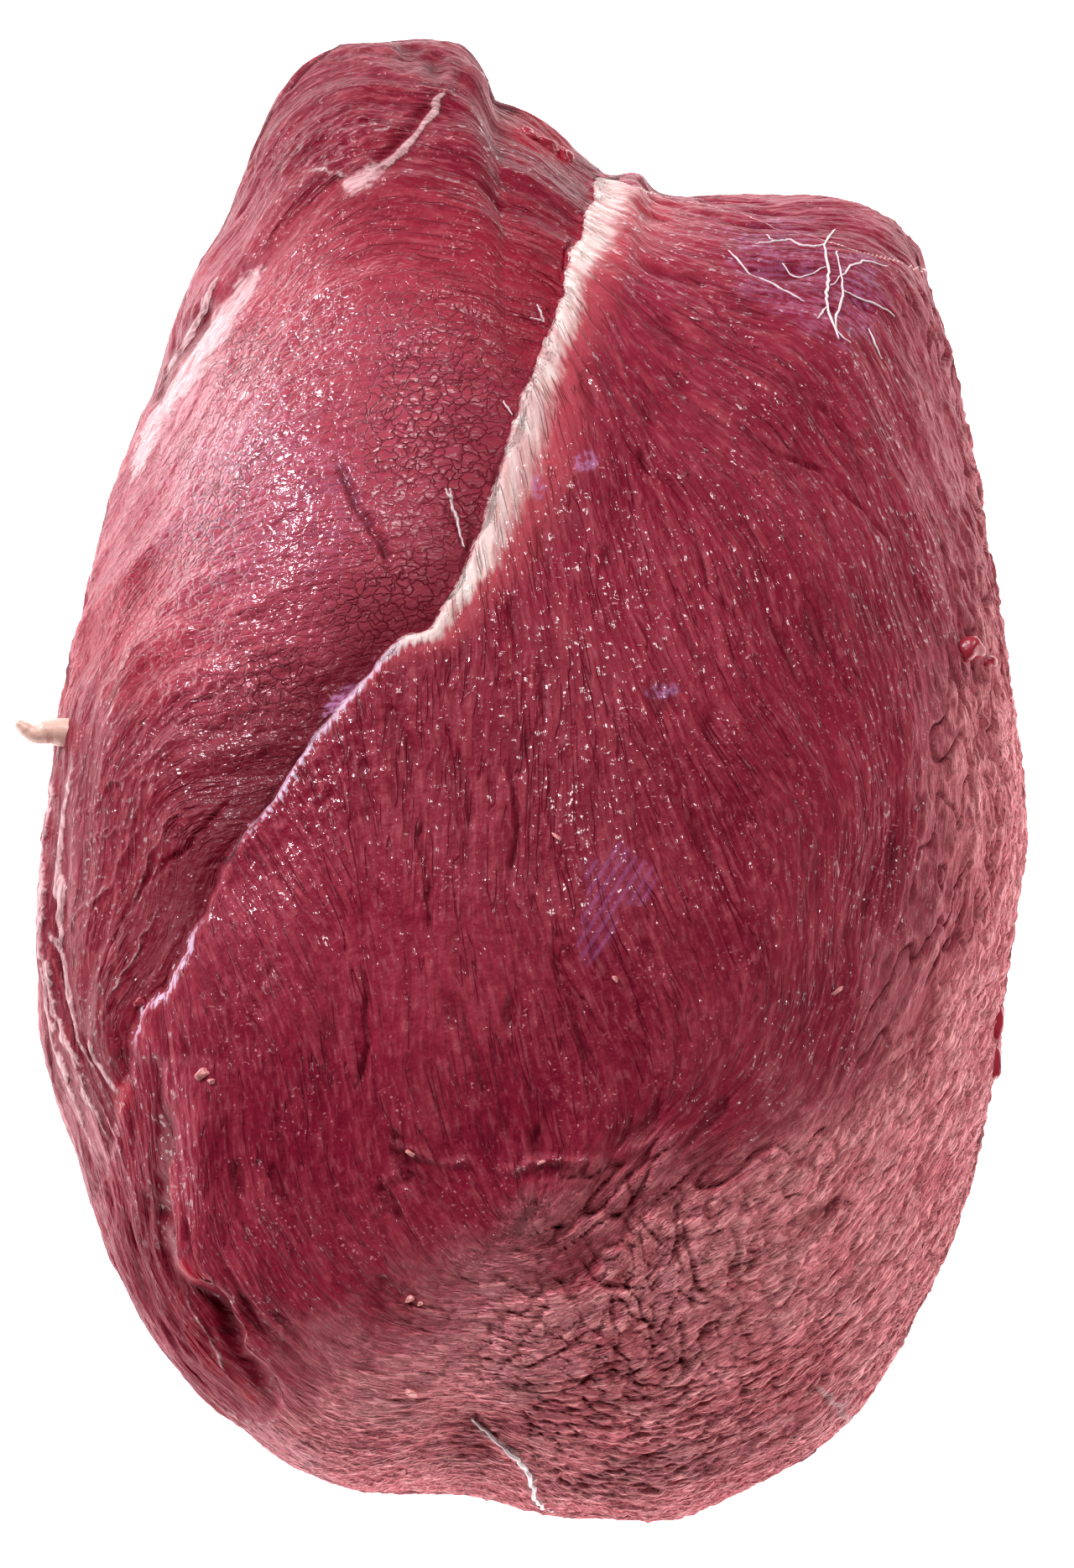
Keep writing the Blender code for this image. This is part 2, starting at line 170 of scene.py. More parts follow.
# Raised pale lines: half width, height, paleness, line
PALE_LINES = [
    (0.4, 0.60, 1, [(-9, 83.6), (-11.5, 80), (-13.4, 76.6), (-17.5, 72.8), (-20.5, 70.8)]),
    (1.2, 0.25, 0.8, [(-17, 73.2), (-20, 70.8), (-23, 70)]),
    (0.5, 0.20, 0.5, [(-20.5, 71.6), (-24.5, 72.3), (-27.5, 71.9)]),
    (1.1, 0.30, 0.8, [(-30, 64), (-34, 57.8), (-39, 50.8), (-43.5, 44.3), (-46.5, 37.8),
        (-48.6, 31)]),
    (0.9, 0.30, 1, [(-35.5, 55), (-39.8, 48.5), (-43, 44)]),
    (0.35, 0.45, 0.9, [(-36, 61), (-41, 54), (-45.5, 47)]),
    (0.30, 0.55, 0.9, [(-54.5, 4.8), (-54.7, -2), (-55.6, -8.8), (-56, -15.7), (-56.2, -20.7),
        (-55.6, -24.7), (-54.5, -28.8), (-52.2, -33.4), (-49.9, -37.5), (-47.6, -39.3)]),
    (0.25, 0.50, 0.7, [(-56.3, 3.9), (-57.6, -4.3), (-58.1, -10.2), (-57.6, -15.7), (-57.6, -20.7),
        (-56.7, -27), (-55.4, -31.6), (-52.6, -36.1), (-49.5, -39.7)]),
    (0.30, 0.40, 0.7, [(-58, -20), (-57.2, -27.5), (-55.6, -34.5), (-53.4, -41), (-50.6, -47)]),
    (0.35, 0.50, 0.9, [(-51.7, -30.7), (-50.4, -34.3), (-47.6, -38.8)]),
    (0.25, 0.35, 0.6, [(-56, -30), (-53.6, -36), (-51, -41.5), (-48.6, -45.5)]),
    (0.22, 0.25, 0.5, [(-55.2, -34), (-51.6, -38), (-49, -43.5), (-47.8, -48)]),
    (0.25, 0.30, 0.38, [(-54.5, -5.9), (-51.5, -3.4), (-47.6, -0.2), (-44, 2.1), (-40.5, 5.5)]),
    (0.25, 0.30, 0.38, [(-54.7, -8.8), (-50.6, -7.5), (-47.4, -5.4), (-45.4, -1.1), (-41, 4)]),
    (0.25, 0.30, 0.38, [(-55.8, -22), (-54, -16.6), (-51.5, -14.7), (-49.2, -10.7), (-47.9, -7.9),
        (-45.4, -6.1)]),
    (0.25, 0.30, 0.36, [(-52.2, -27.5), (-51.5, -27), (-48.5, -21.6), (-48.1, -17), (-44, -7.5),
        (-42.6, -6.1), (-39.5, -4.7), (-34.9, -4.3)]),
    (0.20, 0.30, 0.5, [(-49.7, -30.2), (-48.8, -26.1), (-47.6, -24.3), (-43.5, -14.3)]),
    (0.25, 0.30, 0.5, [(-51.8, 8), (-48, 12.5), (-44.5, 16.5)]),
    (0.40, 0.35, 0.9, [(-6.7, -76.4), (-4, -79), (-1, -81.4), (0.4, -84.2), (1, -86.2),
        (2.8, -88.6)]),
    (0.40, 0.60, 0.35, [(-17, -43.6), (-13, -44.9), (-10, -45.7), (-6, -46.3)]),
    (0.40, 0.50, 0.35, [(-4.5, -46.9), (-1, -46.7), (1, -46), (5, -46.2), (9, -45.2)]),
    (0.40, 0.30, 0.5, [(-37, -74.5), (-34.5, -76.5), (-30.5, -77), (-28.5, -75.8)]),
    (0.7, 0.30, 0.3, [(-24.5, 87.3), (-20, 86.4), (-16, 85.2), (-11.5, 83.4)]),
    (0.6, 0.40, 0.4, [(-8, 85), (-6.4, 84), (-5.2, 82.2)]),
    (0.18, 0.20, 0.6, [(-39, -58), (-35, -64), (-31.5, -71)]),
    (0.18, 0.20, 0.5, [(-41.5, -60), (-38, -67), (-34, -73.5)]),
    (0.5, 0.10, 0.7, [(33.5, -72), (37, -76), (40, -79.5)]),
]  # fmt: skip

# Sunken lines, also darkened with painted shade: half width, depth, line
DARK_LINES = [
    (0.5, 0.9, [(-23.5, 38.5), (-20.5, 32), (-17.5, 27), (-16.3, 23.3)]),
    (0.3, 0.7, [(17.2, -49.8), (17.5, -54), (17, -58.2)]),
    (0.3, 0.6, [(19.3, -57.5), (19.6, -60), (18.9, -63.6)]),
    (0.3, 0.6, [(18.5, -63.8), (18, -68), (18.4, -72)]),
    (0.3, 0.6, [(11.8, -46.8), (12.2, -50.5), (11.6, -54.8)]),
    (0.3, 0.5, [(24, -52.5), (24.4, -57), (23.6, -60.5)]),
    (0.3, 0.5, [(5.5, -57), (9, -60.5), (14.5, -61)]),
    (0.9, 0.35, [(30.6, -54.6), (33.6, -52.2), (36.8, -50.6)]),
    (0.8, 0.9, [(-16.5, 87.8), (-12.5, 86.2), (-9.5, 84.6)]),
    (1.5, 1.3, [(-37.5, 58), (-41, 53), (-44, 48.5), (-46.5, 43)]),
    (0.5, 1, [(-42.6, -38), (-43.4, -48.6), (-41.8, -58.4)]),
    (0.8, 1.5, [(-40, -60), (-36.5, -62.5), (-34.6, -67.4), (-31.6, -71.5), (-28.6, -75.4)]),
    (0.25, 0.45, [(19.4, 59), (24, 53.5), (29, 49), (34, 44.5), (41, 38)]),
    (0.25, 0.45, [(26, 41.5), (30, 38.5), (36, 35.5), (44, 27)]),
    (0.25, 0.45, [(11, 41), (14, 36.5), (17.5, 34), (20, 31)]),
    (0.25, 0.45, [(17, 31.5), (20.5, 26.5), (22, 21.5), (26.5, 17)]),
    (0.35, 0.6, [(-12.8, -4), (-12.2, -12), (-11.6, -20.5)]),
    (0.35, 0.6, [(-2, 2), (-1.4, -6), (-2.2, -14.5)]),
    (0.35, 0.6, [(-8, -26), (-6.5, -33.5), (-4, -40)]),
    (0.35, 0.6, [(-20, -22), (-19, -31), (-20.5, -38)]),
    (0.35, 0.5, [(2.5, -20), (5, -28), (8, -36.5)]),
    (0.3, 0.3, [(-29.5, 12), (-37, 9.5), (-44, 5)]),
    (0.3, 0.2, [(-31, 18.5), (-36, 17.5), (-42, 18.5)]),
    (0.3, 0.5, [(-35, -2.5), (-40, -8), (-45.5, -13)]),
    (0.4, 0.7, [(-44, -9), (-49, -18), (-51.5, -27)]),
]  # fmt: skip

# Patches of the surface: how soft their edges are, and ovals, each with its place, radius across,
# radius along, turn in degrees and strength. Violet and striped film, wet crimson flesh, whitish
# film, and flesh that is torn and glints. The last oval of the first list is painted sheen, a
# purplish tint round the swelling's highlight.
PATCHES = {
    "violet_film_and_sheen": (0.3, [
        (34, 59, 10.5, 6, -32, 0.25), (28, 63, 5, 1.4, -25, 0.35), (39.5, 59, 3, 4, -10, 0.35),
        (6.8, 36.8, 1.6, 1.2, 30, 0.6), (1.2, 34, 1, 1.6, 0, 0.6), (16, 9.8, 2.4, 0.8, 10, 0.6),
        # The last oval is painted sheen: a purplish tint round the swelling's highlight.
        (-22.5, 8.6, 3.4, 0.9, 42, 0.7), (-31, 33, 12, 12, 0, 0.16),
    ]),
    "striped": (0.12, [
        (10.8, -12.8, 4.2, 3.2, -35, 1), (8.4, -17.8, 2, 4.4, -22, 1),
    ]),
    "crimson": (0.35, [
        (-37, -66.5, 3.2, 9.5, 34, 1), (-48, -38.5, 1.2, 2, 0, 0.7), (1.6, 77, 1.8, 5, 60, 0.8),
        (-43, 48.5, 1.6, 5.5, -35, 0.8),
    ]),
    "milky": (0.7, [
        (-53.5, -42, 3.6, 8, 21, 0.7), (-29, -80.5, 7, 2.6, -34, 0.7),
        (-40.5, 45.5, 3.2, 12, -29, 0.7), (-36, 40, 4, 10, -25, 0.3),
        (-19.5, 71.5, 3.4, 1.8, 30, 0.6), (36, -76, 5, 2, 49, 0.6), (-55, -10, 1.8, 16, 0, 0.2),
    ]),
    "torn": (0.8, [
        (3.5, 36, 2, 6, 10, 0.8), (-3.5, 15, 1.4, 10, 4, 0.5), (1.5, 8, 1.2, 8, 4, 0.4),
        (9, 24, 1.4, 8, 14, 0.4), (2.5, -3, 2.6, 3, 0, 0.6), (16.5, 10, 4, 1.4, 0, 0.5),
        (-27, -8, 5, 14, -30, 0.5), (-18, 6, 5, 6, -30, 0.5), (-25, 75, 11, 5, 20, 0.8),
        (-20, 2, 3, 7, 40, 0.6), (-31, -25, 2.5, 6, -20, 0.6), (-17, -50, 7, 4, 0, 0.4),
        (-30, 9, 12, 9, 0, 0.9), (-26, -2, 7, 7, 0, 0.9),
    ]),
}  # fmt: skip

# Ovals: the smooth wet swelling, its wrinkled side, the cracked membrane, the dark middle
DOME = (-22, 30, 22, 27)
WRINKLED = (-35, 13, 13, 14)
CRACKED = (14, -62, 24, 18)
DARK_MIDDLE = (3, 12, 16, 24)

# Loose pale threads: radius, lift at each end, line
THREADS = [
    (0.17, 0.1, 0.1, [(27.5, 63.5), (30.5, 63.8), (33, 63.2), (35.5, 63.8), (37, 66)]),
    (0.19, 0.1, 0.2, [(35.5, 63.8), (36.2, 59.8), (36, 56.3), (37, 51.8)]),
    (0.14, 0.1, 0.1, [(37, 62.8), (38, 58.3), (37, 53.8), (38.5, 51.3)]),
    (0.15, 0.1, 0.1, [(27, 59.8), (30, 58.3), (33, 56.6)]),
    (0.12, 0.1, 0.1, [(24, 62.3), (27, 59.8)]),
    (0.14, 0.1, 0.1, [(38, 58.3), (41, 56.8), (44, 54.8)]),
    (0.12, 0.1, 0.3, [(41, 53.3), (42.5, 49.8)]),
    (0.11, 0.1, 0.4, [(29.5, 63.8), (28.5, 64.8)]),
    (0.12, 0.1, 0.2, [(36, 56.3), (34.5, 54.3)]),
    (0.12, 0.1, 0.1, [(35.8, 61), (32.5, 60), (30.5, 61.2)]),
    (0.12, 0.1, 0.1, [(36.4, 58.8), (40, 61.5), (43.2, 61)]),
    (0.30, 0.2, 0.3, [(-6.7, -76.4), (-4, -79), (-1, -81.4), (0.4, -84.2), (1, -86.2),
        (2.8, -88.2)]),
    (0.19, 0.3, 3, [(-7.7, 26.8), (-8.5, 30), (-9, 32.4), (-9.3, 33.8)]),
    (0.15, 2.2, 3, [(-9, 32.4), (-9.9, 33.8)]),
    (0.15, 0.4, 1.6, [(1.9, 53.9), (1, 56)]),
    (0.12, 0.4, 1.2, [(1.9, 53.9), (0.2, 54.4)]),
    (0.12, 0.4, 0.8, [(-2, 42.6), (-3, 44.4)]),
    (0.10, 0.3, 1.5, [(-56.5, 24), (-59, 25.5)]),
]  # fmt: skip
THREAD_DRIFT = 0.048  # how far a thread strays from its line at each step

# Small lumps: across, along, half length, half width, half height, turn
FAT_LUMPS = [
    (-38.5, -35.7, 1.2, 0.8, 0.8, 20), (-37.4, -36.6, 0.7, 0.5, 0.6, 0),
    (-14, -73.2, 1.1, 0.6, 0.7, -20), (-14, -62.2, 0.8, 0.5, 0.6, 30),
    (-12.8, -62.8, 0.5, 0.4, 0.5, 0), (36.5, -26, 1.5, 0.35, 0.5, 35),
    (-13.9, -45, 0.9, 0.4, 0.6, -30), (1.4, -46, 0.8, 0.3, 0.5, 30),
    (3.4, -7.8, 1, 0.4, 0.5, -50), (10.2, -24.4, 0.6, 0.4, 0.6, -60),
]  # fmt: skip
FLESH_LUMPS = [
    (52.6, 14.6, 1.7, 1.5, 1.4, 20), (54.4, 13.4, 0.9, 0.7, 0.8, -20),
    (56.6, -30.5, 1.1, 2.6, 1.1, 0), (56.4, -35, 0.9, 2.2, 1, 8),
    (2.6, 76.4, 1.4, 0.9, 0.7, -30), (0.4, 77.7, 1.1, 0.8, 0.6, -30),
    (4.6, 74.9, 1.2, 0.9, 0.7, -40),
    (-45.6, -27.5, 0.7, 0.5, 0.5, 30),
]  # fmt: skip
FAT_TAG = [(-52, 2.6, 1), (-57, 3.3, 1.8), (-59.3, 3, 2.2), (-61.4, 4.4, 2.6)]
FAT_TAG_RADII = [2.2, 1.7, 1.2, 0.5]

BALL_CUTS = 270
SHOWN_SHARE = 0.76  # of the surface points that go to the shown half
UNROLL = 1.3  # the unrolled sheet's radius at the rim, over the rim's own
SHEET = (98.0, 152.0)  # half width and half length of that sheet
SHEET_TURNS_BACK = 104  # the lean past which it runs back, so that both ends of it meet underneath
UV_SPLIT = 100  # the lean at which the bake's second island begins
UV_REACH = 98.94  # a little over the rim's longest reach
FINE_CELL = 0.2
COARSE_CELL = 0.6
GRAIN_CELL = 3.0

rng = np.random.default_rng(41)


def curve_through(points, steps=10, closed=False):
    """Points along a smooth curve through the given ones."""
    p = np.array(points, float)
    padded = np.vstack([p[-1:], p, p[:2]] if closed else [p[:1], p, p[-1:]])
    before, start, end, after = (padded[k : len(padded) - 3 + k, None] for k in range(4))
    t = np.linspace(0, 1, steps, endpoint=False)[None, :, None]
    line = 0.5 * (
        2 * start
        + (end - before) * t
        + (2 * before - 5 * start + 4 * end - after) * t**2
        + (3 * start - before - 3 * end + after) * t**3
    )
    line = line.reshape(-1, p.shape[1])
    return line if closed else np.vstack([line, p[-1]])


def radius_table(outline):
    """The outline's radius for every half degree of turn."""
    line = curve_through(outline, closed=True)
    angles = np.arctan2(line[:, 1], line[:, 0])
    order = np.argsort(angles)
    turn = np.linspace(-math.pi, math.pi, 721)
    return turn, np.interp(turn, angles[order], np.hypot(*line[order].T), period=2 * math.pi)


def softened(radii, waves=4):
    """The same outline without its notch and corners."""
    parts = np.fft.rfft(radii[:-1])
    parts[waves + 1 :] = 0
    soft = np.fft.irfft(parts, len(radii) - 1)
    return np.append(soft, soft[0])


TURN, RADII = radius_table(RIM)
BROAD = softened(RADII)


def along_and_off(line, across, along):
    """For each place: its share of the way along the line, and its distance off, + to the right."""
    line = curve_through(line)
    starts, steps = line[:-1], np.diff(line, axis=0)
    lengths = np.hypot(*steps.T)
    reached = np.concatenate([[0], np.cumsum(lengths)])
    nearest = np.full(across.shape, np.inf)
    share = np.zeros_like(across)
    off = np.zeros_like(across)
    for start, step, length, done in zip(starts, steps, lengths, reached[:-1]):
        dx, dy = across - start[0], along - start[1]
        t = np.clip((dx * step[0] + dy * step[1]) / length**2, 0, 1)
        gap = np.hypot(dx - t * step[0], dy - t * step[1])
        side = np.where(dx * step[1] - dy * step[0] >= 0, 1.0, -1.0)
        closer = gap < nearest
        nearest = np.where(closer, gap, nearest)
        off = np.where(closer, side * gap, off)
        share = np.where(closer, (done + t * length) / reached[-1], share)
    return share, off


def evenly(values, share):
    """The given values, spread evenly along a line."""
    return np.interp(share, np.linspace(0, 1, len(values)), values)


def ramp(x):
    x = np.clip(x, 0, 1)
    return x * x * (3 - 2 * x)


def bell(x, width):
    return np.exp(-((x / width) ** 2))


def ends_of(share):
    return ramp(share / 0.04) * ramp((1 - share) / 0.04)


def view_frame():
    """Directions of across, along and height in the table's axes."""
    c, s = math.cos(math.radians(SHOWN_TILT)), math.sin(math.radians(SHOWN_TILT))
    return np.array([(1, 0, 0), (0, s, c), (0, -c, s)])


def to_world(across, along, height):
    """From the leaning plane to the table's X, Y and Z, in millimetres, before centring."""
    return np.stack([across, along, height], axis=-1) @ view_frame() + (0, 0, CORE_HEIGHT)


def on_table(points):
    """Sets the piece down, so that its underside is pressed flat and rounds off softly."""
    z = points[:, 2] + SLICE
    points[:, 2] = 0.5 * (z + np.sqrt(z * z + TABLE_PRESS**2)) - SLICE
    settled = 0.5 * (np.sqrt(SLICE**2 + TABLE_PRESS**2) + SLICE)
    points[:, 2] = np.maximum(points[:, 2] - settled, 0)
    return points


def oval(across, along, x, y, wide, long, turn=0):
    """How far each place is from the oval's middle, as a share of the way to its edge."""
    c, s = math.cos(math.radians(turn)), math.sin(math.radians(turn))
    dx, dy = across - x, along - y
    return np.hypot((c * dx + s * dy) / wide, (c * dy - s * dx) / long)


def mound_relief(across, along, mounds):
    total = np.zeros_like(across)
    for *place, height in mounds:
        total += height * bell(oval(across, along, *place), 1)
    return total


def bed_relief(across, along):
    total = mound_relief(across, along, BED_MOUNDS)
    for depth, width, line in BED_SEAMS:
        share, off = along_and_off(line, across, along)
        total -= depth * ends_of(share) * bell(off, width)
    return total


# The unrolled sheet


def unroll(across, along):
    """Places on the shown face, spread out on the sheet so that the steep sides keep their size."""
    angle = np.arctan2(along, across)
    rim = np.interp(angle, TURN, BROAD)
    spread = np.clip(np.hypot(across, along) / rim, 1e-6, 0.996)
    reach = UNROLL * rim * np.arcsin(spread) / (math.pi / 2)
    return reach * np.cos(angle), reach * np.sin(angle)


def sheet_grid(cell):
    x = np.arange(-SHEET[0], SHEET[0], cell)
    y = np.arange(-SHEET[1], SHEET[1], cell)
    return np.meshgrid(x, y)


def rolled(x, y):
    """The place on the shown face under each place of the sheet."""
    angle = np.arctan2(y, x)
    rim = np.interp(angle, TURN, BROAD)
    lean = np.minimum(np.hypot(x, y) / (UNROLL * rim), 0.97) * math.pi / 2
    return rim * np.sin(lean) * np.cos(angle), rim * np.sin(lean) * np.sin(angle)


def read_sheet(values, cell, x, y):
    """Values of the sheet between its cells."""
    rows, columns = values.shape
    i, j = np.abs(y + SHEET[1]) / cell, np.abs(x + SHEET[0]) / cell
    i, j = np.minimum(i, 2 * rows - 2.002 - i), np.minimum(j, 2 * columns - 2.002 - j)
    i0, j0 = i.astype(int), j.astype(int)
    di, dj = i - i0, j - j0
    top = values[i0, j0] * (1 - dj) + values[i0, j0 + 1] * dj
    low = values[i0 + 1, j0] * (1 - dj) + values[i0 + 1, j0 + 1] * dj
    return top * (1 - di) + low * di


def noise_sheet(shape, softness):
    """Random values with no detail finer than softness, in cells, and a spread of 1."""
    waves = np.fft.rfft2(rng.standard_normal(shape))
    fy, fx = np.fft.fftfreq(shape[0])[:, None], np.fft.rfftfreq(shape[1])[None]
    soft = np.fft.irfft2(waves * np.exp(-2 * (math.pi * softness) ** 2 * (fx**2 + fy**2)), shape)
    return (soft - soft.mean()) / soft.std()


def grain_vectors(across, along, grains, reach=5.0):
    """The grain's direction between the given places, as a doubled angle's cosine and sine."""
    cosine, sine = np.zeros_like(across), np.zeros_like(across)
    for x, y, degrees in grains:
        weight = 1 / ((across - x) ** 2 + (along - y) ** 2 + reach**2) ** 2
        cosine += weight * math.cos(2 * math.radians(degrees))
        sine += weight * math.sin(2 * math.radians(degrees))
    size = np.hypot(cosine, sine) + 1e-12
    return cosine / size, sine / size


def grain_sheet(cell):
    """Unit steps along the grain on the sheet, as it is seen unrolled."""
    x, y = sheet_grid(GRAIN_CELL)
    across, along = rolled(x, y)
    _, off = along_and_off(SEAM, across, along)
    right = grain_vectors(across, along, GRAIN_RIGHT)
    left = grain_vectors(across, along, GRAIN_LEFT)
    x, y = sheet_grid(cell)
    across, along = rolled(x, y)
    over, *sides = (
        read_sheet(values, GRAIN_CELL, x, y) for values in (ramp(0.5 - off / 3.0), *right, *left)
    )
    cosine, sine = (sides[k] * over + sides[k + 2] * (1 - over) for k in (0, 1))
    angle = 0.5 * np.arctan2(sine, cosine)
    step = 0.5
    here = unroll(across, along)
    there = unroll(across + step * np.cos(angle), along + step * np.sin(angle))
    dx, dy = there[0] - here[0], there[1] - here[1]
    size = np.hypot(dx, dy) + 1e-9
    return dx / size, dy / size


def smear(sheets, grain, reach):
    """Each sheet averaged along the grain, reach cells either way, with a spread of 1."""
    dx, dy = grain
    rows, columns = dx.shape
    i0, j0 = np.mgrid[0:rows, 0:columns].astype(np.float32)
    totals = [sheet.copy() for sheet in sheets]
    for way in (1.0, -1.0):
        i, j = i0.copy(), j0.copy()
        sx, sy = way * dx, way * dy
        for step in range(1, reach + 1):
            i, j = i + sy, j + sx
            at = (
                np.clip(np.rint(i), 0, rows - 1).astype(np.int32) * columns
                + np.clip(np.rint(j), 0, columns - 1).astype(np.int32)
            )
            nx, ny = dx.ravel()[at], dy.ravel()[at]
            turn = np.where(nx * sx + ny * sy < 0, -1.0, 1.0)
            sx, sy = nx * turn, ny * turn
            weight = 0.5 + 0.5 * math.cos(math.pi * step / (reach + 1))
            for total, sheet in zip(totals, sheets):
                total += weight * sheet.ravel()[at]
    return [(t - t.mean()) / t.std() for t in totals]


def cell_borders(x, y, size):
    """How far each place is from the border between uneven cells, over the cells' size."""
    i, j = np.floor(x / size).astype(int), np.floor(y / size).astype(int)
    i -= i.min() - 1
    j -= j.min() - 1
    jitter = rng.random((i.max() + 3, j.max() + 3, 2))
    x0, y0 = x / size - np.floor(x / size), y / size - np.floor(y / size)
    first = np.full(x.shape, 9.0)
    second = np.full(x.shape, 9.0)
    for di in (-1, 0, 1):
        for dj in (-1, 0, 1):
            spot = jitter[i + di, j + dj]
            gap = np.hypot(spot[..., 0] + di - x0, spot[..., 1] + dj - y0)
            second = np.minimum(second, np.maximum(first, gap))
            first = np.minimum(first, gap)
    return second - first


def make_sheets():
    """Named sheets, and each one's cell size. The rounder ones aren't drawn out along the grain."""
    x, y = sheet_grid(FINE_CELL)
    shape = x.shape
    grain = grain_sheet(FINE_CELL)
    doubled = grain[0] ** 2 - grain[1] ** 2, 2 * grain[0] * grain[1]
    fine_noise = [noise_sheet(shape, softness) for softness in (1.3, 1.2, 3.6)]
    fibre, slit, bark = smear(fine_noise, grain, 24)
    wrinkle = smear([noise_sheet(shape, 3.0)], grain, 9)[0]
    pebble, ripple = noise_sheet(shape, 1.6), noise_sheet(shape, 4.0)
    warp = [noise_sheet(shape, 5.0) for _ in range(2)]
    wx, wy = x + 0.5 * warp[0], y + 0.5 * warp[1]
    plates = cell_borders(wx * 1.3 + wy * 0.2, wy * 0.55, 4.2)
    fine = {"fibre": fibre, "slit": slit, "bark": bark, "wrinkle": wrinkle, "pebble": pebble}
    fine.update(ripple=ripple, plates=plates, grain_cos=doubled[0], grain_sin=doubled[1])
    shape = sheet_grid(COARSE_CELL)[0].shape
    grain = grain_sheet(COARSE_CELL)
    bundle, cleft = smear([noise_sheet(shape, 1.7), noise_sheet(shape, 1.1)], grain, 24)
    wide = smear([noise_sheet(shape, 4.5)], grain, 20)[0]
    blotch, mottle = noise_sheet(shape, 14.0), noise_sheet(shape, 5.0)
    coarse = {"bundle": bundle, "cleft": cleft, "wide": wide, "blotch": blotch, "mottle": mottle}
    sheets = {name: (sheet, FINE_CELL) for name, sheet in fine.items()}
    sheets.update({name: (sheet, COARSE_CELL) for name, sheet in coarse.items()})
    return sheets


# The surface


def ball(cuts):
    """A cube's even grid, and each of its points' direction on a ball."""
    bm = bmesh.new()
    bmesh.ops.create_cube(bm, size=2.0)
    bmesh.ops.subdivide_edges(bm, edges=bm.edges[:], cuts=cuts, use_grid_fill=True)
    mesh = bpy.data.meshes.new("knuckle_surface")
    bm.to_mesh(mesh)
    bm.free()
    corners = np.empty(len(mesh.vertices) * 3, np.float32)
    mesh.vertices.foreach_get("co", corners)
    corners = corners.reshape(-1, 3).astype(float)
    squares = corners**2
    one, two = squares[:, [1, 2, 0]], squares[:, [2, 0, 1]]
    return mesh, corners * np.sqrt(1 - one / 2 - two / 2 + one * two / 3)


def crowd_shown(directions):
    """Leans the directions over, so that SHOWN_SHARE of them lie in the shown half."""
    x, y, z = directions.T
    lean = np.arccos(np.clip(z, -1, 1))
    edge = math.acos(1 - 2 * SHOWN_SHARE)
    half = math.pi / 2
    lean = np.where(lean < edge, lean * half / edge, half + (lean - edge) * half / (math.pi - edge))
    return lean, np.arctan2(y, x)


class Places:
    """Where each surface point lies on the shown face and on the sheet, with what is near it."""

    def __init__(self, lean, angle):
        rim = np.interp(angle, TURN, RADII)
        broad = np.interp(angle, TURN, BROAD)
        self.shown = lean <= math.pi / 2
        self.spread = np.clip(np.sin(lean), 0, 1)
        reach = self.spread * (broad + (rim - broad) * self.spread**3)
        self.across, self.along = reach * np.cos(angle), reach * np.sin(angle)
        sheet_reach = UNROLL * broad * lean / (math.pi / 2)
        self.x, self.y = sheet_reach * np.cos(angle), sheet_reach * np.sin(angle)
        self.lean, self.angle = lean, angle

    def read(self, sheets):
        plain = ramp((2.8 - self.lean) / 0.5)
        for name, (values, cell) in sheets.items():
            setattr(self, name, read_sheet(values, cell, self.x, self.y) * plain)
        self.grain_cos += 1 - plain


def seam_relief(p, edge):
    """The right muscle's edge stands over the left muscle, which dips beside it."""
    share, off = along_and_off(SEAM, p.across, p.along)
    off = -off + edge
    step = evenly(SEAM_STEP, share)
    over = ramp((off + SEAM_EDGE) / (2 * SEAM_EDGE))
    lip = LIP_SHARE * step * bell(off, LIP_REACH)
    deep, back = LIP_ROUND
    lip -= deep * (step / max(SEAM_STEP)) * np.clip(1 - off / back, 0, 1) ** 2
    valley = (1 - LIP_SHARE) * step * bell(off, VALLEY_REACH)
    return over * lip - (1 - over) * valley, over, share, off


def fold_relief(p):
    share, off = along_and_off(FOLD, p.across, p.along)
    off = -off
    depth = evenly(FOLD_DEPTH, share) * ends_of(share)
    over = ramp((off + SEAM_EDGE) / (2 * SEAM_EDGE))
    lip = depth / max(FOLD_DEPTH) * FOLD_LIP * bell(off, POCKET_REACH)
    pocket = (1 - over) * depth * bell(off, POCKET_REACH)
    # A band of painted shadow just under the fold's lip.
    gap = ramp(depth / 2) * bell(off + FOLD_GAP[0], FOLD_GAP[1])
    return over * lip - pocket, pocket, gap


def base_points(p):
    """The solid's own form, with sharper edges. Also notes the zones of the surface on p."""
    fullness = np.where(p.shown, CAP_FULLNESS, BED_FULLNESS)
    rise = (1 - p.spread**fullness) ** (1 / fullness)
    height = -RIM_SLOPE * p.along + np.where(p.shown, CAP_HEIGHT, -BED_DEPTH) * rise
    ragged = 0.22 * p.mottle + 0.13 * p.ripple
    step, p.over, p.seam_share, p.seam_off = seam_relief(p, ragged)
    fold, p.pocket, p.gap = fold_relief(p)
    depth, width = VEIN_GROOVE
    share, off = along_and_off(VEIN, p.across, p.along)
    vein = ends_of(share) * (0.6 * bell(off - 1.5 * width, width) - depth * bell(off, width))
    tip_share, tip_off = along_and_off(TIP_RIDGE, p.across, p.along)
    high, wide = TIP_RIDGE_SIZE
    relief = step + fold + vein + ends_of(tip_share) * high * bell(tip_off, wide)
    relief += mound_relief(p.across, p.along, MOUNDS)
    bed = bed_relief(p.across, p.along)
    height += np.where(p.shown, relief, -bed) * ramp(rise / 0.25)
    return on_table(to_world(p.across, p.along, height))


def point_normals(points, faces):
    a, b, c, d = (points[faces[:, k]] for k in range(4))
    face = np.cross(c - a, d - b)
    normals = np.empty_like(points)
    for axis in range(3):
        normals[:, axis] = sum(
            np.bincount(faces[:, k], face[:, axis], len(points)) for k in range(4)
        )
    return normals / np.linalg.norm(normals, axis=1, keepdims=True)


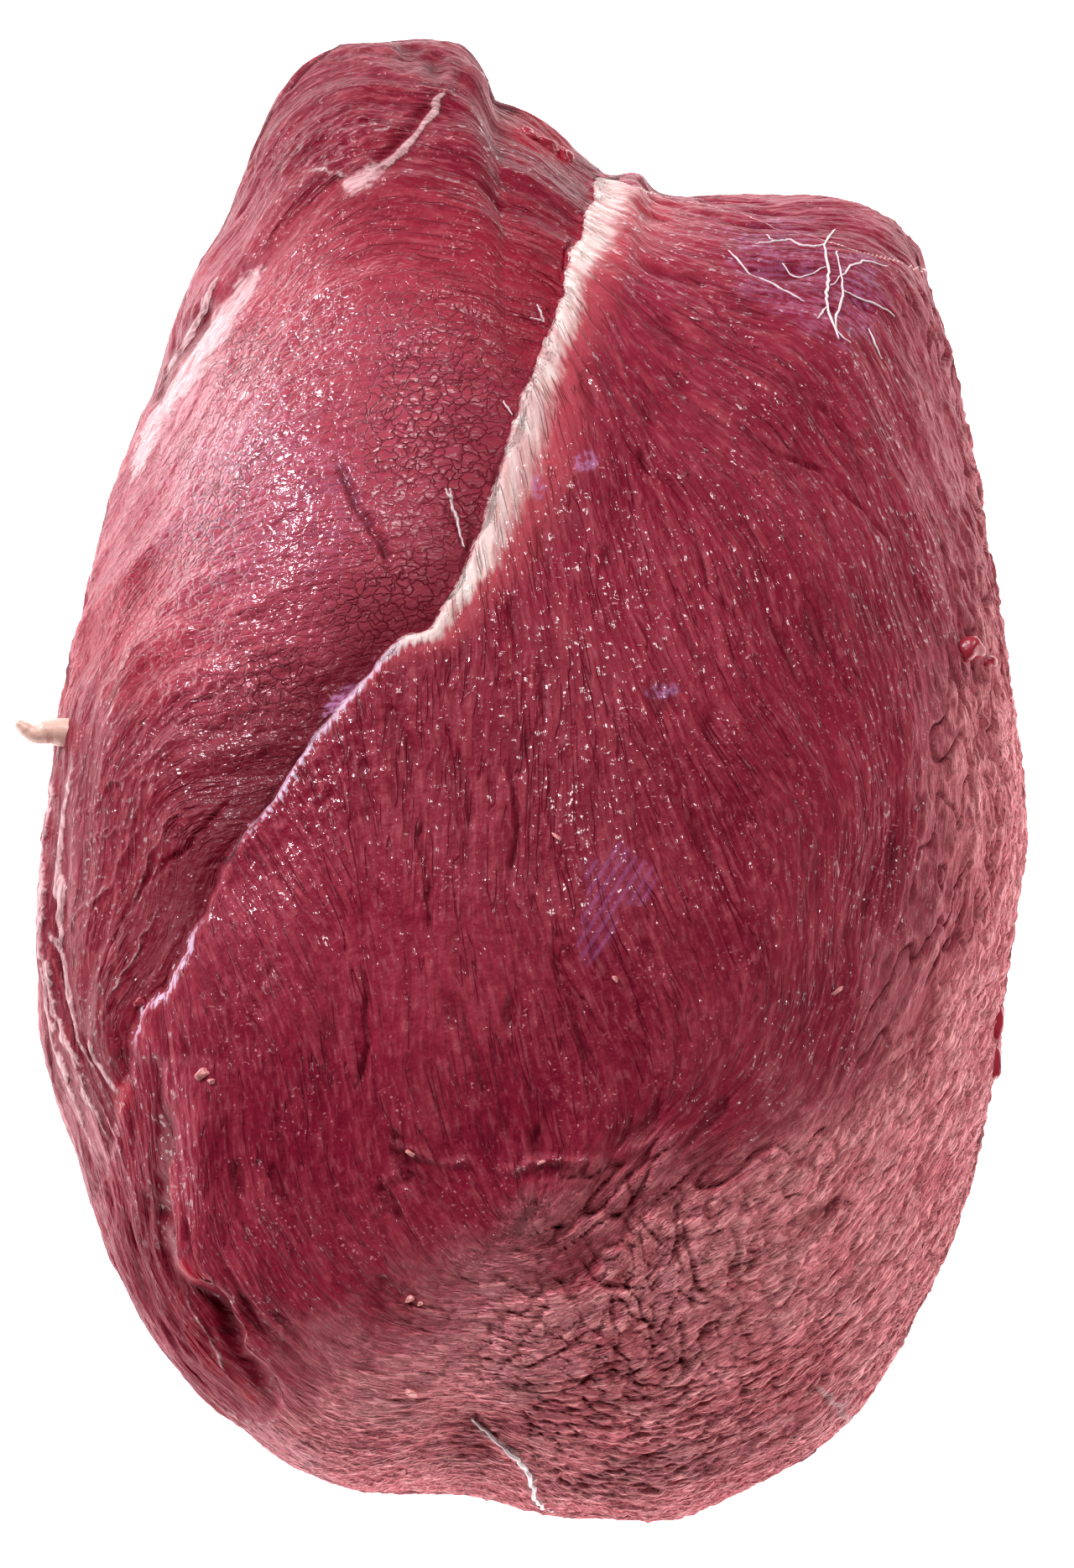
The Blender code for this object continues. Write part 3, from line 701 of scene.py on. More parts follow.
def patches(p, spots, softness):
    """A mask of the given ragged ovals."""
    total = np.zeros_like(p.across)
    for *place, strength in spots:
        far = oval(p.across, p.along, *place) - 0.12 * p.ripple
        total = np.maximum(total, strength * ramp((1.1 - far) / softness))
    return total


def near(p, spot):
    """A soft mask of one oval."""
    return bell(oval(p.across, p.along, *spot), 1)


def line_marks(p, half_width, line):
    """A rounded and a peaked mask of a line that tapers at its ends."""
    share, off = along_and_off(line, p.across, p.along)
    taper = ramp(np.minimum(share, 1 - share) / 0.2)
    off = off + 0.2 * p.ripple
    peak = np.clip(1 - np.abs(off) / (2.0 * half_width), 0, 1)
    return bell(off, half_width) * taper, peak * taper


def zones(p):
    """Masks from 0 to 1 over the surface."""
    below = ramp((p.lean - 1.5) / 0.25)
    p.rim = ramp((p.spread - 0.80) / 0.2)
    _, film_off = along_and_off(FILM_EDGE, p.across, p.along)
    p.film = ramp(0.5 + (-film_off + 1.8 * p.mottle + 0.8 * p.wrinkle) / FILM_BLEND)
    p.film *= 1 - ramp((p.lean - 1.7) / 0.5)
    p.under = ramp((p.lean - 1.47 + 0.08 * p.mottle + 0.10 * p.blotch) / 0.6)
    p.turning = p.film * (1 - p.film) * (1 - below)
    patchy = ramp(0.6 + 0.5 * p.blotch + 0.2 * p.mottle)
    p.film = np.maximum(p.film, p.under * (0.35 + 0.65 * patchy))
    p.left = (1 - p.over) * (1 - below)
    p.dome = p.left * ramp(1.8 * near(p, DOME))
    width = evenly(FASCIA_WIDTH, p.seam_share)
    edge = p.seam_off + 0.18 * p.mottle * width
    p.lip = np.where((p.lean < 1.6) & (p.seam_share > 0.002), np.clip(p.seam_off, -3.0, 14.0), -3.0)
    p.band = width
    fading = ramp((width - edge) / (0.6 * width + 0.1))
    p.fascia = ramp((p.lip + 0.4) / 0.4) * fading * ramp(width / 0.3)
    p.pale = np.zeros_like(p.across)
    p.ridge = np.zeros_like(p.across)
    for wide, high, paleness, line in PALE_LINES:
        mark, tent = line_marks(p, wide, line)
        mark *= (1 - below) * (1 + 0.25 * p.ripple)
        p.pale = np.maximum(p.pale, paleness * tent * (1 - below))
        p.ridge = np.maximum(p.ridge, high * mark)
    p.crease = np.zeros_like(p.across)
    for wide, deep, line in DARK_LINES:
        p.crease = np.maximum(p.crease, deep * line_marks(p, wide, line)[0] * (1 - below))
    for name, (softness, spots) in PATCHES.items():
        setattr(p, name, patches(p, spots, softness) * (1 - below))
    # Less crimson in the fold's gap, so that its painted shadow stays dark.
    p.crimson *= 1 - 0.6 * p.gap
    p.milky *= ramp(0.7 + 0.4 * p.fibre)
    # Painted shade in the valley beside the lapping edge, on the left muscle.
    p.valley = p.left * evenly(VALLEY_SHADE, p.seam_share) * bell(p.seam_off, VALLEY_WIDTH)
    p.dry = p.dome * bell(p.seam_off, DRY_WIDTH) * ramp((p.along + 5.0) / 20.0)
    p.deep = p.left * np.maximum(ramp((p.along - 56.0) / 20.0), ramp((18.0 - p.along) / 16.0))
    p.deep += (1 - p.left) * 0.4 * near(p, DARK_MIDDLE)


def detail_height(p):
    """Fine relief in millimetres: bundles, fibres, wrinkles, slits and cracks."""
    slit = ramp((-p.slit - 1.4) / 1.1)
    cleft = ramp((-p.cleft - 1.7) / 0.9)
    plates = 1 - ramp((p.plates - 0.02) / 0.08)
    flesh = (1 - p.film) * (1 - 0.8 * p.dome)
    wet = p.left * (1 - p.dome)
    leather = np.tanh(1.4 * p.wrinkle)
    rough = p.film * (0.3 + 0.7 * ramp((p.across + 16) / 26))
    fold = bell(p.wrinkle, 0.30)
    turning = ramp(p.turning / 0.22) * (1 - p.left) * ramp((p.across + 20) / 26)
    crevice = turning * bell(p.bark, 0.22) * ramp(0.6 + p.wide)
    gash = flesh * ramp((-p.bark - 1.25) / 0.8) * (1 - p.left)
    glossy = p.left * near(p, WRINKLED)
    relief = flesh * (0.07 * p.bundle + 0.025 * p.fibre + 0.16 * p.wide)
    relief += wet * (0.10 * p.bundle + 0.22 * p.wide) + p.torn * (0.09 * p.pebble + 0.05 * leather)
    relief += glossy * (0.15 * leather + 0.12 * p.bundle)
    relief += flesh * 0.07 * p.bark - 0.30 * gash
    relief -= flesh * (0.08 * slit + 0.28 * cleft)
    relief += 0.06 * p.dome * p.ripple
    relief += rough * (0.10 * leather - 0.30 * fold + 0.20 * p.wide)
    relief += p.film * (0.08 * p.bundle + 0.05 * p.pebble)
    relief -= 0.30 * rough * bell(p.bark, 0.16)
    relief += turning * (0.16 * p.bundle + 0.16 * leather) - 0.60 * crevice
    crack_zone = p.film * near(p, CRACKED)
    relief -= 0.45 * crack_zone * plates + 0.15 * p.film * slit
    relief += p.ridge - p.crease
    relief += 0.03 * p.pebble + 0.10 * p.mottle * (1 - p.dome)
    # Painted shade: how much darker the slits, clefts, cracks, folds, crevices, gashes, sunken
    # lines and the fold's gap are coloured.
    p.hollow = flesh * (0.3 * slit + 0.7 * cleft) + 0.7 * crack_zone * plates
    p.hollow += rough * (0.30 * fold + 0.40 * bell(p.bark, 0.16)) * (1 - 0.7 * p.rim)
    p.hollow += 0.7 * crevice + 0.6 * gash
    p.hollow = np.clip(p.hollow + 0.3 * p.film * slit + p.crease + p.gap, 0, 1)
    return relief * (1 - 0.8 * p.fascia)


MASKS = (
    "film", "left", "dome", "lip", "band", "rim", "hollow", "pocket", "pale", "violet_film_and_sheen", "torn",
    "valley", "dry", "deep", "striped", "turning", "crimson", "under", "milky",
)  # fmt: skip
SHEET_VALUES = ("fibre", "slit", "blotch", "mottle", "wrinkle")
WAYS = 16  # steps of turn in half a circle


def add_attribute(mesh, name, values):
    mesh.attributes.new(name, "FLOAT", "POINT").data.foreach_set("value", values.astype(np.float32))


def add_vectors(mesh, name, x, y, z):
    values = np.stack([x, y, z], axis=1).astype(np.float32).reshape(-1)
    mesh.attributes.new(name, "FLOAT_VECTOR", "POINT").data.foreach_set("vector", values)


def add_ways(mesh, p):
    """The two nearest of the fixed steps of turn to the grain, each with its share.

    Each of the two changes its step only where its share is nothing, so no change shows.
    """
    way = np.arctan2(p.grain_sin, p.grain_cos) / (2 * math.pi) * WAYS
    even, odd = 2 * np.rint(way / 2), 2 * np.floor(way / 2) + 1
    share = 1 - ramp((np.abs(way - even) - 0.3) / 0.4)
    for name, step, weight in (("even_way", even, share), ("odd_way", odd, 1 - share)):
        turn = np.mod(step, WAYS) * math.pi / WAYS
        add_vectors(mesh, name, np.cos(turn), np.sin(turn), weight)


def unwrap(mesh, p, faces):
    """Two islands side by side: the shown half with a margin, and the rest."""
    loops = faces.reshape(-1)
    below = np.repeat((p.lean[faces].max(axis=1) > math.radians(UV_SPLIT)), 4)
    rest = (math.pi - p.lean[loops]) / (math.pi / 2) * np.interp(p.angle[loops], TURN, RADII)
    tall = 2 * UNROLL * UV_REACH * UV_SPLIT / 90
    shrink = 0.7056 / tall
    u = np.where(below, 0.80 + rest * np.cos(p.angle[loops]) * shrink, 0.305 + p.x[loops] / tall)
    v = np.where(below, 0.5 + rest * np.sin(p.angle[loops]) * shrink, 0.5 + p.y[loops] / tall)
    layer = mesh.uv_layers.new(name="OFBake")
    layer.data.foreach_set("uv", np.stack([u, v], axis=1).reshape(-1).astype(np.float32))


def build_knuckle(material):
    mesh, directions = ball(BALL_CUTS)
    faces = np.empty(len(mesh.polygons) * 4, np.int32)
    mesh.polygons.foreach_get("vertices", faces)
    faces = faces.reshape(-1, 4)
    p = Places(*crowd_shown(directions))
    p.read(make_sheets())
    points = base_points(p)
    zones(p)
    normals = point_normals(points, faces)
    if normals[np.argmax(points[:, 2]), 2] < 0:
        normals = -normals
    clear = np.where(points[:, 2] > 0.02, ramp(points[:, 2] / 4), 0)  # flat where it rests
    points += normals * (detail_height(p) * clear)[:, None]
    points[:, 2] = np.maximum(points[:, 2], 0)
    points[:, :2] -= BOX_MIDDLE
    mesh.vertices.foreach_set("co", (points * MM).astype(np.float32).reshape(-1))
    for name in MASKS + SHEET_VALUES:
        add_attribute(mesh, name, getattr(p, name))
    back = math.radians(SHEET_TURNS_BACK)
    flat = np.where(p.lean > back, back / (math.pi - back) * (math.pi - p.lean) / p.lean, 1)
    add_vectors(mesh, "sheet", p.x * flat, p.y * flat, np.zeros_like(p.x))
    add_ways(mesh, p)
    unwrap(mesh, p, faces)
    mesh.materials.append(material)
    mesh.update()
    mesh.shade_smooth()
    return add_object("knuckle_surface", mesh), p, points


# Materials


class Nodes:
    """A short way to add shader nodes and link them."""

    def __init__(self, name):
        self.material = bpy.data.materials.new(name)
        self.material.use_nodes = True
        self.tree = self.material.node_tree
        self.shader = self.tree.nodes["Principled BSDF"]

    def add(self, kind, **settings):
        node = self.tree.nodes.new(kind)
        for key, value in settings.items():
            setattr(node, key, value)
        return node

    def link(self, source, target):
        if isinstance(source, bpy.types.NodeSocket):
            self.tree.links.new(source, target)
        else:
            target.default_value = source

    def value(self, name):
        return self.add("ShaderNodeAttribute", attribute_name=name).outputs["Fac"]

    def math(self, operation, a, b=0.0, c=0.0):
        node = self.add("ShaderNodeMath", operation=operation)
        for source, target in zip((a, b, c), node.inputs):
            self.link(source, target)
        return node.outputs[0]

    def times(self, a, b, plus=None):
        if plus is None:
            return self.math("MULTIPLY", a, b)
        return self.math("MULTIPLY_ADD", a, b, plus)

    def less(self, mask, share):
        """1, less the mask's share."""
        return self.times(mask, -share, 1.0)

    def mix(self, factor, a, b):
        node = self.add("ShaderNodeMix", data_type="RGBA", clamp_factor=True)
        for source, target in ((factor, 0), (a, 6), (b, 7)):
            self.link(source, node.inputs[target])
        return node.outputs[2]

    def noise(self, scale, detail=2.0, place=None, flat=False):
        node = self.add("ShaderNodeTexNoise", noise_dimensions="2D" if flat else "3D")
        node.inputs["Scale"].default_value = scale
        node.inputs["Detail"].default_value = detail
        self.link(place or self.add("ShaderNodeTexCoord").outputs["Object"], node.inputs["Vector"])
        return node

    def vector_value(self, name):
        return self.add("ShaderNodeAttribute", attribute_name=name).outputs["Vector"]

    def turned(self, place, name):
        """The place turned by the named step towards the grain, and that step's share."""
        turn, spot = (self.add("ShaderNodeSeparateXYZ") for _ in range(2))
        self.link(self.vector_value(name), turn.inputs[0])
        self.link(place, spot.inputs[0])
        (cosine, sine, share), (x, y, _) = turn.outputs, spot.outputs
        out = self.add("ShaderNodeCombineXYZ")
        self.link(self.times(x, cosine, self.times(y, sine)), out.inputs[0])
        self.link(self.math("SUBTRACT", self.times(y, cosine), self.times(x, sine)), out.inputs[1])
        return out.outputs[0], share

    def strands(self, ways, long, short, detail=1.0):
        """Noise drawn out along the grain, and thin lines in it."""
        tone, lines = 0.0, 0.0
        for place, share in ways:
            drawn = self.add("ShaderNodeVectorMath", operation="MULTIPLY")
            self.link(place, drawn.inputs[0])
            drawn.inputs[1].default_value = (1 / long, 1 / short, 0)
            value = self.noise(1.0, detail, drawn.outputs[0], flat=True).outputs["Fac"]
            middle = self.math("ABSOLUTE", self.math("SUBTRACT", value, 0.5))
            tone = self.times(value, share, tone)
            lines = self.times(self.span(middle, 0.0, 0.05, 1.0, 0.0), share, lines)
        return tone, lines

    def cells(self, place, size, stretch, feature):
        """Distance from the middle of uneven cells, or from the border between them."""
        shaped = self.add("ShaderNodeMapping", vector_type="TEXTURE")
        shaped.inputs["Scale"].default_value = (size * stretch, size, 1)
        self.link(place, shaped.inputs["Vector"])
        found = self.add("ShaderNodeTexVoronoi", feature=feature, voronoi_dimensions="2D")
        found.inputs["Scale"].default_value = 1.0
        self.link(shaped.outputs["Vector"], found.inputs["Vector"])
        return found.outputs["Distance"]

    def warped(self, place, amount, scale):
        """The place, pushed about by noise."""
        push = self.add("ShaderNodeVectorMath", operation="MULTIPLY_ADD")
        self.link(self.noise(scale, 2.0, place, flat=True).outputs["Color"], push.inputs[0])
        push.inputs[1].default_value = (amount, amount, 0)
        self.link(place, push.inputs[2])
        return push.outputs[0]

    def bump(self, height, strength, distance):
        node = self.add("ShaderNodeBump")
        node.inputs["Strength"].default_value = strength
        node.inputs["Distance"].default_value = distance
        self.link(height, node.inputs["Height"])
        self.link(node.outputs["Normal"], self.shader.inputs["Normal"])
        return node.outputs["Normal"]

    def span(self, source, low, high, to_low=0.0, to_high=1.0):
        node = self.add("ShaderNodeMapRange", interpolation_type="SMOOTHSTEP")
        self.link(source, node.inputs["Value"])
        ends = {"From Min": low, "From Max": high, "To Min": to_low, "To Max": to_high}
        for key, value in ends.items():
            self.link(value, node.inputs[key])
        return node.outputs["Result"]


def linear(red, green, blue):
    """A colour as it is seen on a screen, as the shader's linear values."""
    parts = (red, green, blue)
    return *(((c / 255 + 0.055) / 1.055) ** 2.4 if c > 10 else c / 3294 for c in parts), 1.0


class Meat(Nodes):
    """Lean meat. The masks and values laid on the surface are read by their names."""

    def __init__(self):
        super().__init__("raw_meat")
        for name in MASKS + SHEET_VALUES:
            setattr(self, name, self.value(name))
        self.place = self.vector_value("sheet")
        ways = [self.turned(self.place, name) for name in ("even_way", "odd_way")]
        self.streak, groove = self.strands(ways, 9.0, 1.0, 1.5)
        self.thread, self.thin = self.strands(ways, 2.2, 0.55, 2.0)
        self.fleck = self.noise(2000.0, 1.0).outputs["Fac"]
        self.spot = self.noise(1200.0, 1.0).outputs["Fac"]
        self.off_spot = self.math("SUBTRACT", self.spot, 0.5)
        self.groove = self.times(groove, self.span(self.slit, -1.2, 0.6, 1.0, 0.0))
        pushed = self.warped(self.place, 2.4, 0.55)
        craze = self.cells(pushed, 0.95, 1.5, "DISTANCE_TO_EDGE")
        self.cell = self.math("POWER", self.cells(pushed, 0.95, 1.5, "F1"), 2.0)
        crack = self.times(self.span(craze, 0.0, 0.13, 1.0, 0.0), self.dome)
        self.crack = self.times(crack, self.span(self.mottle, -1.0, 0.8, 0.3, 1.0))
        self.crest = self.span(self.times(self.off_spot, 0.5, self.pale), 0.30, 0.52)
        self.inside = self.span(self.times(self.off_spot, 1.2, self.lip), -0.12, 0.12)
        frayed = self.times(self.math("SUBTRACT", self.thread, 0.5), 2.4, self.lip)
        self.reach = self.math("DIVIDE", frayed, self.math("ADD", self.band, 0.05))
        self.blush = self.times(self.inside, self.span(self.reach, 0.7, 2.4, 1.0, 0.0))
        self.paint()
        self.wet()
        self.roughen()

    def layers(self, colour, *tones):
        """Brings the colour towards each tone in turn, by a share of the named mask, or by a share
        that grows over a range of the named value."""
        for name, share, tone, *ends in tones:
            value = getattr(self, name)
            factor = self.span(value, *ends, 0.0, share) if ends else self.times(value, share)
            colour = self.mix(factor, colour, linear(*tone))
        return colour

    def flesh_colour(self):
        inner = self.times(self.rim, -0.5, 0.6)
        # Painted glints: tiny pale specks in clusters, coloured into the flesh.
        glint_crowd = self.span(self.noise(170.0).outputs["Fac"], 0.48, 0.66, 0.0, 0.7)
        self.painted_glint = self.span(self.noise(2600.0, 0.0).outputs["Fac"], 0.70, 0.80)
        return self.layers(
            self.mix(self.span(self.blotch, -1.2, 1.2), linear(126, 16, 44), linear(140, 26, 52)),
            ("mottle", 0.6, (148, 42, 60), -1.5, 1.8),
            ("left", inner, (160, 18, 42)),
            ("deep", 0.85, (106, 2, 28)),
            ("dome", 0.5, (180, 84, 100)),
            ("streak", 0.25, (176, 72, 84), 0.50, 0.72),
            ("streak", 0.3, (104, 8, 32), 0.50, 0.30),
            ("thread", 0.3, (184, 92, 102), 0.52, 0.72),
            ("thread", 0.3, (100, 6, 28), 0.46, 0.28),
            ("groove", 0.35, (84, 4, 24)),
            ("painted_glint", glint_crowd, (216, 140, 148)),
        )

    def skin_colour(self):
        uneven = self.span(self.mottle, -1.5, 1.5)
        return self.layers(
            self.mix(uneven, linear(232, 122, 130), linear(250, 150, 156)),
            # Painted shade: the membrane is coloured darker towards the outline.
            ("rim", 0.5, (190, 98, 108)),
            # Painted light and shade: the membrane is coloured lighter on the crests of its
            # wrinkles and strands, and darker in the lines and creases between them.
            ("wrinkle", 0.3, (232, 164, 162), -0.2, 1.6),
            ("thread", 0.35, (238, 176, 174), 0.50, 0.68),
            ("thread", 0.5, (126, 34, 50), 0.48, 0.34),
            ("thin", 0.4, (116, 26, 44)),
            ("under", 0.7, (150, 56, 72)),
        )

    def add_hollows(self, colour):
        """The torn border of the membrane, wet patches, and painted shade in what lies low and in
        the valley beside the edge, with a pink blush along that edge.
        """
        colour = self.layers(
            colour,
            ("turning", 1.6, (134, 40, 56)),
            ("crimson", 0.85, (160, 10, 36)),
            ("milky", 0.6, (222, 158, 164)),
        )
        # Painted shade: darker in the slits, cracks, folds and the fold's gap.
        shade = self.mix(self.film, linear(92, 4, 26), linear(120, 22, 40))
        return self.layers(
            self.mix(self.times(self.hollow, 0.8), colour, shade),
            ("crack", 0.7, (92, 10, 32)),
            # Painted shade in the fold's pocket and in the valley beside the lapping edge.
            ("pocket", 0.8, (110, 8, 32), 0.3, 3.0),
            ("valley", 0.95, (92, 2, 24)),
            ("blush", self.span(self.band, 0.3, 1.5, 0.0, 0.65), (190, 78, 86)),
        )

    def add_films(self, colour):
        """Violet film and painted purplish sheen on the swelling, the film's striped patch, and the
        raised pale lines.
        """
        across = self.add("ShaderNodeVectorMath", operation="DOT_PRODUCT")
        self.link(self.place, across.inputs[0])
        across.inputs[1].default_value = (5.2, -3.4, 0)
        stripes = self.span(self.math("SINE", across.outputs["Value"]), -0.2, 0.9, 0.1, 0.45)
        tone = self.times(self.thread, 0.6, self.times(self.spot, 0.4))
        shine = self.span(self.pale, 0.0, 0.8, 0.3, 0.8)
        shine = self.times(shine, self.span(self.thread, 0.35, 0.6, 0.5, 1.0))
        return self.layers(
            colour,
            ("violet_film_and_sheen", self.span(tone, 0.44, 0.56, 0.1, 1.0), (178, 116, 160)),
            ("striped", stripes, (156, 84, 134)),
            ("pale", 0.12, (216, 150, 156)),
            ("crest", shine, (222, 182, 182)),
        )

    def add_edge(self, colour):
        """The pale band along the lapping edge, frayed inwards."""
        edge = self.times(self.inside, self.span(self.reach, 0.45, 1.05, 1.0, 0.0))
        uneven = self.span(self.fibre, -1.5, 1.5)
        white = self.mix(uneven, linear(204, 160, 156), linear(234, 212, 204))
        white = self.mix(self.span(self.band, 0.8, 2.0, 0.8, 0.0), white, linear(190, 158, 186))
        white = self.layers(white, ("groove", 0.5, (190, 110, 104)))
        return self.mix(self.times(edge, self.span(self.band, 0.1, 0.5)), colour, white)

    def paint(self):
        colour = self.mix(self.film, self.flesh_colour(), self.skin_colour())
        colour = self.add_edge(self.add_films(self.add_hollows(colour)))
        self.link(colour, self.shader.inputs["Base Color"])

    def wet(self):
        """A clear coat in wet spots, on the swelling and where the flesh is torn."""
        bare = self.less(self.film, 1.0)
        self.link(self.span(bare, 0.0, 1.0, 0.60, 0.50), self.shader.inputs["Roughness"])
        self.shader.inputs["Specular IOR Level"].default_value = 0.12
        coat = self.span(self.times(self.torn, 0.13, self.spot), 0.60, 0.66)
        coat = self.math("MAXIMUM", coat, self.dome)
        for mask, share in ((self.dry, 0.85), (self.rim, 0.85), (self.valley, 0.9)):
            coat = self.times(coat, self.less(mask, share))
        coat = self.times(self.math("POWER", bare, 2.0), coat)
        self.link(coat, self.shader.inputs["Coat Weight"])
        self.shader.inputs["Coat Roughness"].default_value = 0.09

    def roughen(self):
        """Strands, flecks and cracks, too fine for the mesh."""
        rough = self.times(self.thread, 0.45)
        rough = self.times(self.streak, self.times(self.left, -0.3, 0.9), rough)
        rough = self.times(self.groove, -0.5, rough)
        leather = self.times(self.thin, -0.5, self.times(self.thread, 1.9))
        height = self.times(self.math("SUBTRACT", leather, rough), self.film, rough)
        height = self.times(self.spot, self.times(self.left, 0.05, 0.25), height)
        height = self.times(self.fleck, self.times(self.torn, 0.22, 0.12), height)
        height = self.times(height, self.less(self.dome, 0.75))
        height = self.times(self.times(self.thread, self.dome), 0.34, height)
        height = self.times(self.times(self.cell, self.dome), -0.34, height)
        height = self.times(self.crack, -0.3, height)
        height = self.times(self.crest, 0.4, height)
        self.link(self.bump(height, 1.0, 0.0004), self.shader.inputs["Coat Normal"])


def plain_material(name, colour, roughness):
    """One colour, a little uneven, on a slightly rough surface."""
    n = Nodes(name)
    dark = tuple(0.8 * c for c in colour[:3]) + (1.0,)
    n.link(n.mix(n.noise(600.0, 3.0).outputs["Fac"], dark, colour), n.shader.inputs["Base Color"])
    n.shader.inputs["Roughness"].default_value = roughness
    n.bump(n.noise(1200.0).outputs["Fac"], 0.5, 0.0002)
    return n.material


# Threads, lumps and the tag of fat


class Skin:
    """Finds the surface under a place on the shown face."""

    def __init__(self, p, points):
        shown = np.flatnonzero(p.lean < 1.45)
        self.points = points[shown]
        self.tree = KDTree(len(shown))
        for index, (across, along) in enumerate(zip(p.across[shown], p.along[shown])):
            self.tree.insert((across, along, 0), index)
        self.tree.balance()
        self.up = view_frame()[2]

    def at(self, across, along, lift=0.0):
        found = self.tree.find_n((across, along, 0), 4)
        weights = np.array([1 / (gap + 0.05) for _, _, gap in found])
        place = weights @ self.points[[index for _, index, _ in found]] / weights.sum()
        return place + lift * self.up


def tubes(name, runs):
    """Tapered tubes in one mesh, from lists of places and radii in millimetres."""
    curve = bpy.data.curves.new(name, "CURVE")
    curve.dimensions = "3D"
    curve.bevel_depth = MM
    curve.bevel_resolution = 2
    curve.use_fill_caps = True
    for places, radii in runs:
        spline = curve.splines.new("POLY")
        spline.points.add(len(places) - 1)
        for point, place, radius in zip(spline.points, places, radii):
            point.co = (*(np.array(place) * MM), 1)
            point.radius = radius
    guide = add_object(name + "_guide", curve)
    graph = bpy.context.evaluated_depsgraph_get()
    mesh = bpy.data.meshes.new_from_object(guide.evaluated_get(graph))
    bpy.data.objects.remove(guide)
    bm = bmesh.new()
    bm.from_mesh(mesh)
    bmesh.ops.remove_doubles(bm, verts=bm.verts, dist=0.000005)
    bmesh.ops.recalc_face_normals(bm, faces=bm.faces)
    bm.to_mesh(mesh)
    bm.free()
    mesh.shade_smooth()
    return add_object(name, mesh)


def build_threads(skin, material):
    runs = []
    for radius, first_lift, last_lift, line in THREADS:
        places = curve_through(line, 8)
        share = np.linspace(0, 1, len(places))
        drift = np.cumsum(rng.standard_normal((len(places), 2)), axis=0)
        places += THREAD_DRIFT * drift * np.sin(math.pi * share)[:, None]
        lifts = first_lift + (last_lift - first_lift) * share
        run = [skin.at(x, y, lift) for (x, y), lift in zip(places, lifts)]
        thin = 0.45 + 0.55 * np.sin(math.pi * np.clip(share, 0.12, 0.88))
        runs.append((run, radius * thin * rng.uniform(0.8, 1.2, len(places))))
    made = tubes("sinew_threads", runs)
    made.data.materials.append(material)
    return made


def build_tag(material):
    line = curve_through(FAT_TAG, 6)
    places = to_world(*line.T)
    places[:, :2] -= BOX_MIDDLE
    radii = np.interp(np.linspace(0, 1, len(line)), np.linspace(0, 1, len(FAT_TAG)), FAT_TAG_RADII)
    made = tubes("fat_tag", [(places, radii * rng.uniform(0.92, 1.08, len(line)))])
    made.data.materials.append(material)
    return made


def build_lumps(name, skin, lumps, material, size=1.0):
    """Ragged lumps half sunk in the surface."""
    wide, long, up = view_frame()
    bm = bmesh.new()
    for across, along, half_long, half_wide, half_high, turn in lumps:
        c, s = math.cos(math.radians(turn)), math.sin(math.radians(turn))
        one, two = c * wide + s * long, c * long - s * wide
        half_long, half_wide, half_high = (size * h for h in (half_long, half_wide, half_high))
        middle = skin.at(across, along, 0.2 * half_high)
        made = bmesh.ops.create_icosphere(bm, subdivisions=3, radius=1.0)
        waves = rng.uniform(1.5, 4.0, (5, 3)) * rng.choice([-1, 1], (5, 3))
        turns = rng.uniform(0, 2 * math.pi, 5)
        for vert in made["verts"]:
            ray = np.array(vert.co)
            swell = 1 + 0.10 * float(np.sum(np.sin(waves @ ray + turns)))
            x, y, z = ray * swell * (half_long, half_wide, half_high)
            vert.co = Vector((middle + x * one + y * two + z * up) * MM)
    mesh = bpy.data.meshes.new(name)
    bm.to_mesh(mesh)
    bm.free()
    mesh.shade_smooth()
    mesh.materials.append(material)
    return add_object(name, mesh)


# The studio


def shown_point(across, along, height=0.0):
    """A place over the shown face in metres, in the table's axes."""
    point = to_world(np.array([across]), np.array([along]), np.array([height]))[0]
    point[:2] -= BOX_MIDDLE
    return Vector(point * MM)


def aim(thing, target):
    thing.rotation_euler = (target - thing.location).to_track_quat("-Z", "Y").to_euler()


def add_camera():
    lens, sensor = 600.0, 36.0
    picture_height = 0.1869
    data = bpy.data.cameras.new("camera")
    data.lens = lens
    data.sensor_width = sensor
    data.clip_end = 20.0
    camera = add_object("camera", data)
    target = shown_point(1.0, -3.0, 20.0)
    away = Vector(view_frame()[2])
    camera.location = target + away * (lens * picture_height / sensor)
    aim(camera, target)
    bpy.context.scene.camera = camera


def add_softbox(name, place, size, watts, colour=(1, 1, 1)):
    data = bpy.data.lights.new(name, "AREA")
    data.size = size
    data.energy = watts
    data.color = colour
    light = add_object(name, data)
    light.location = place
    aim(light, Vector((0, 0, 0.04)))


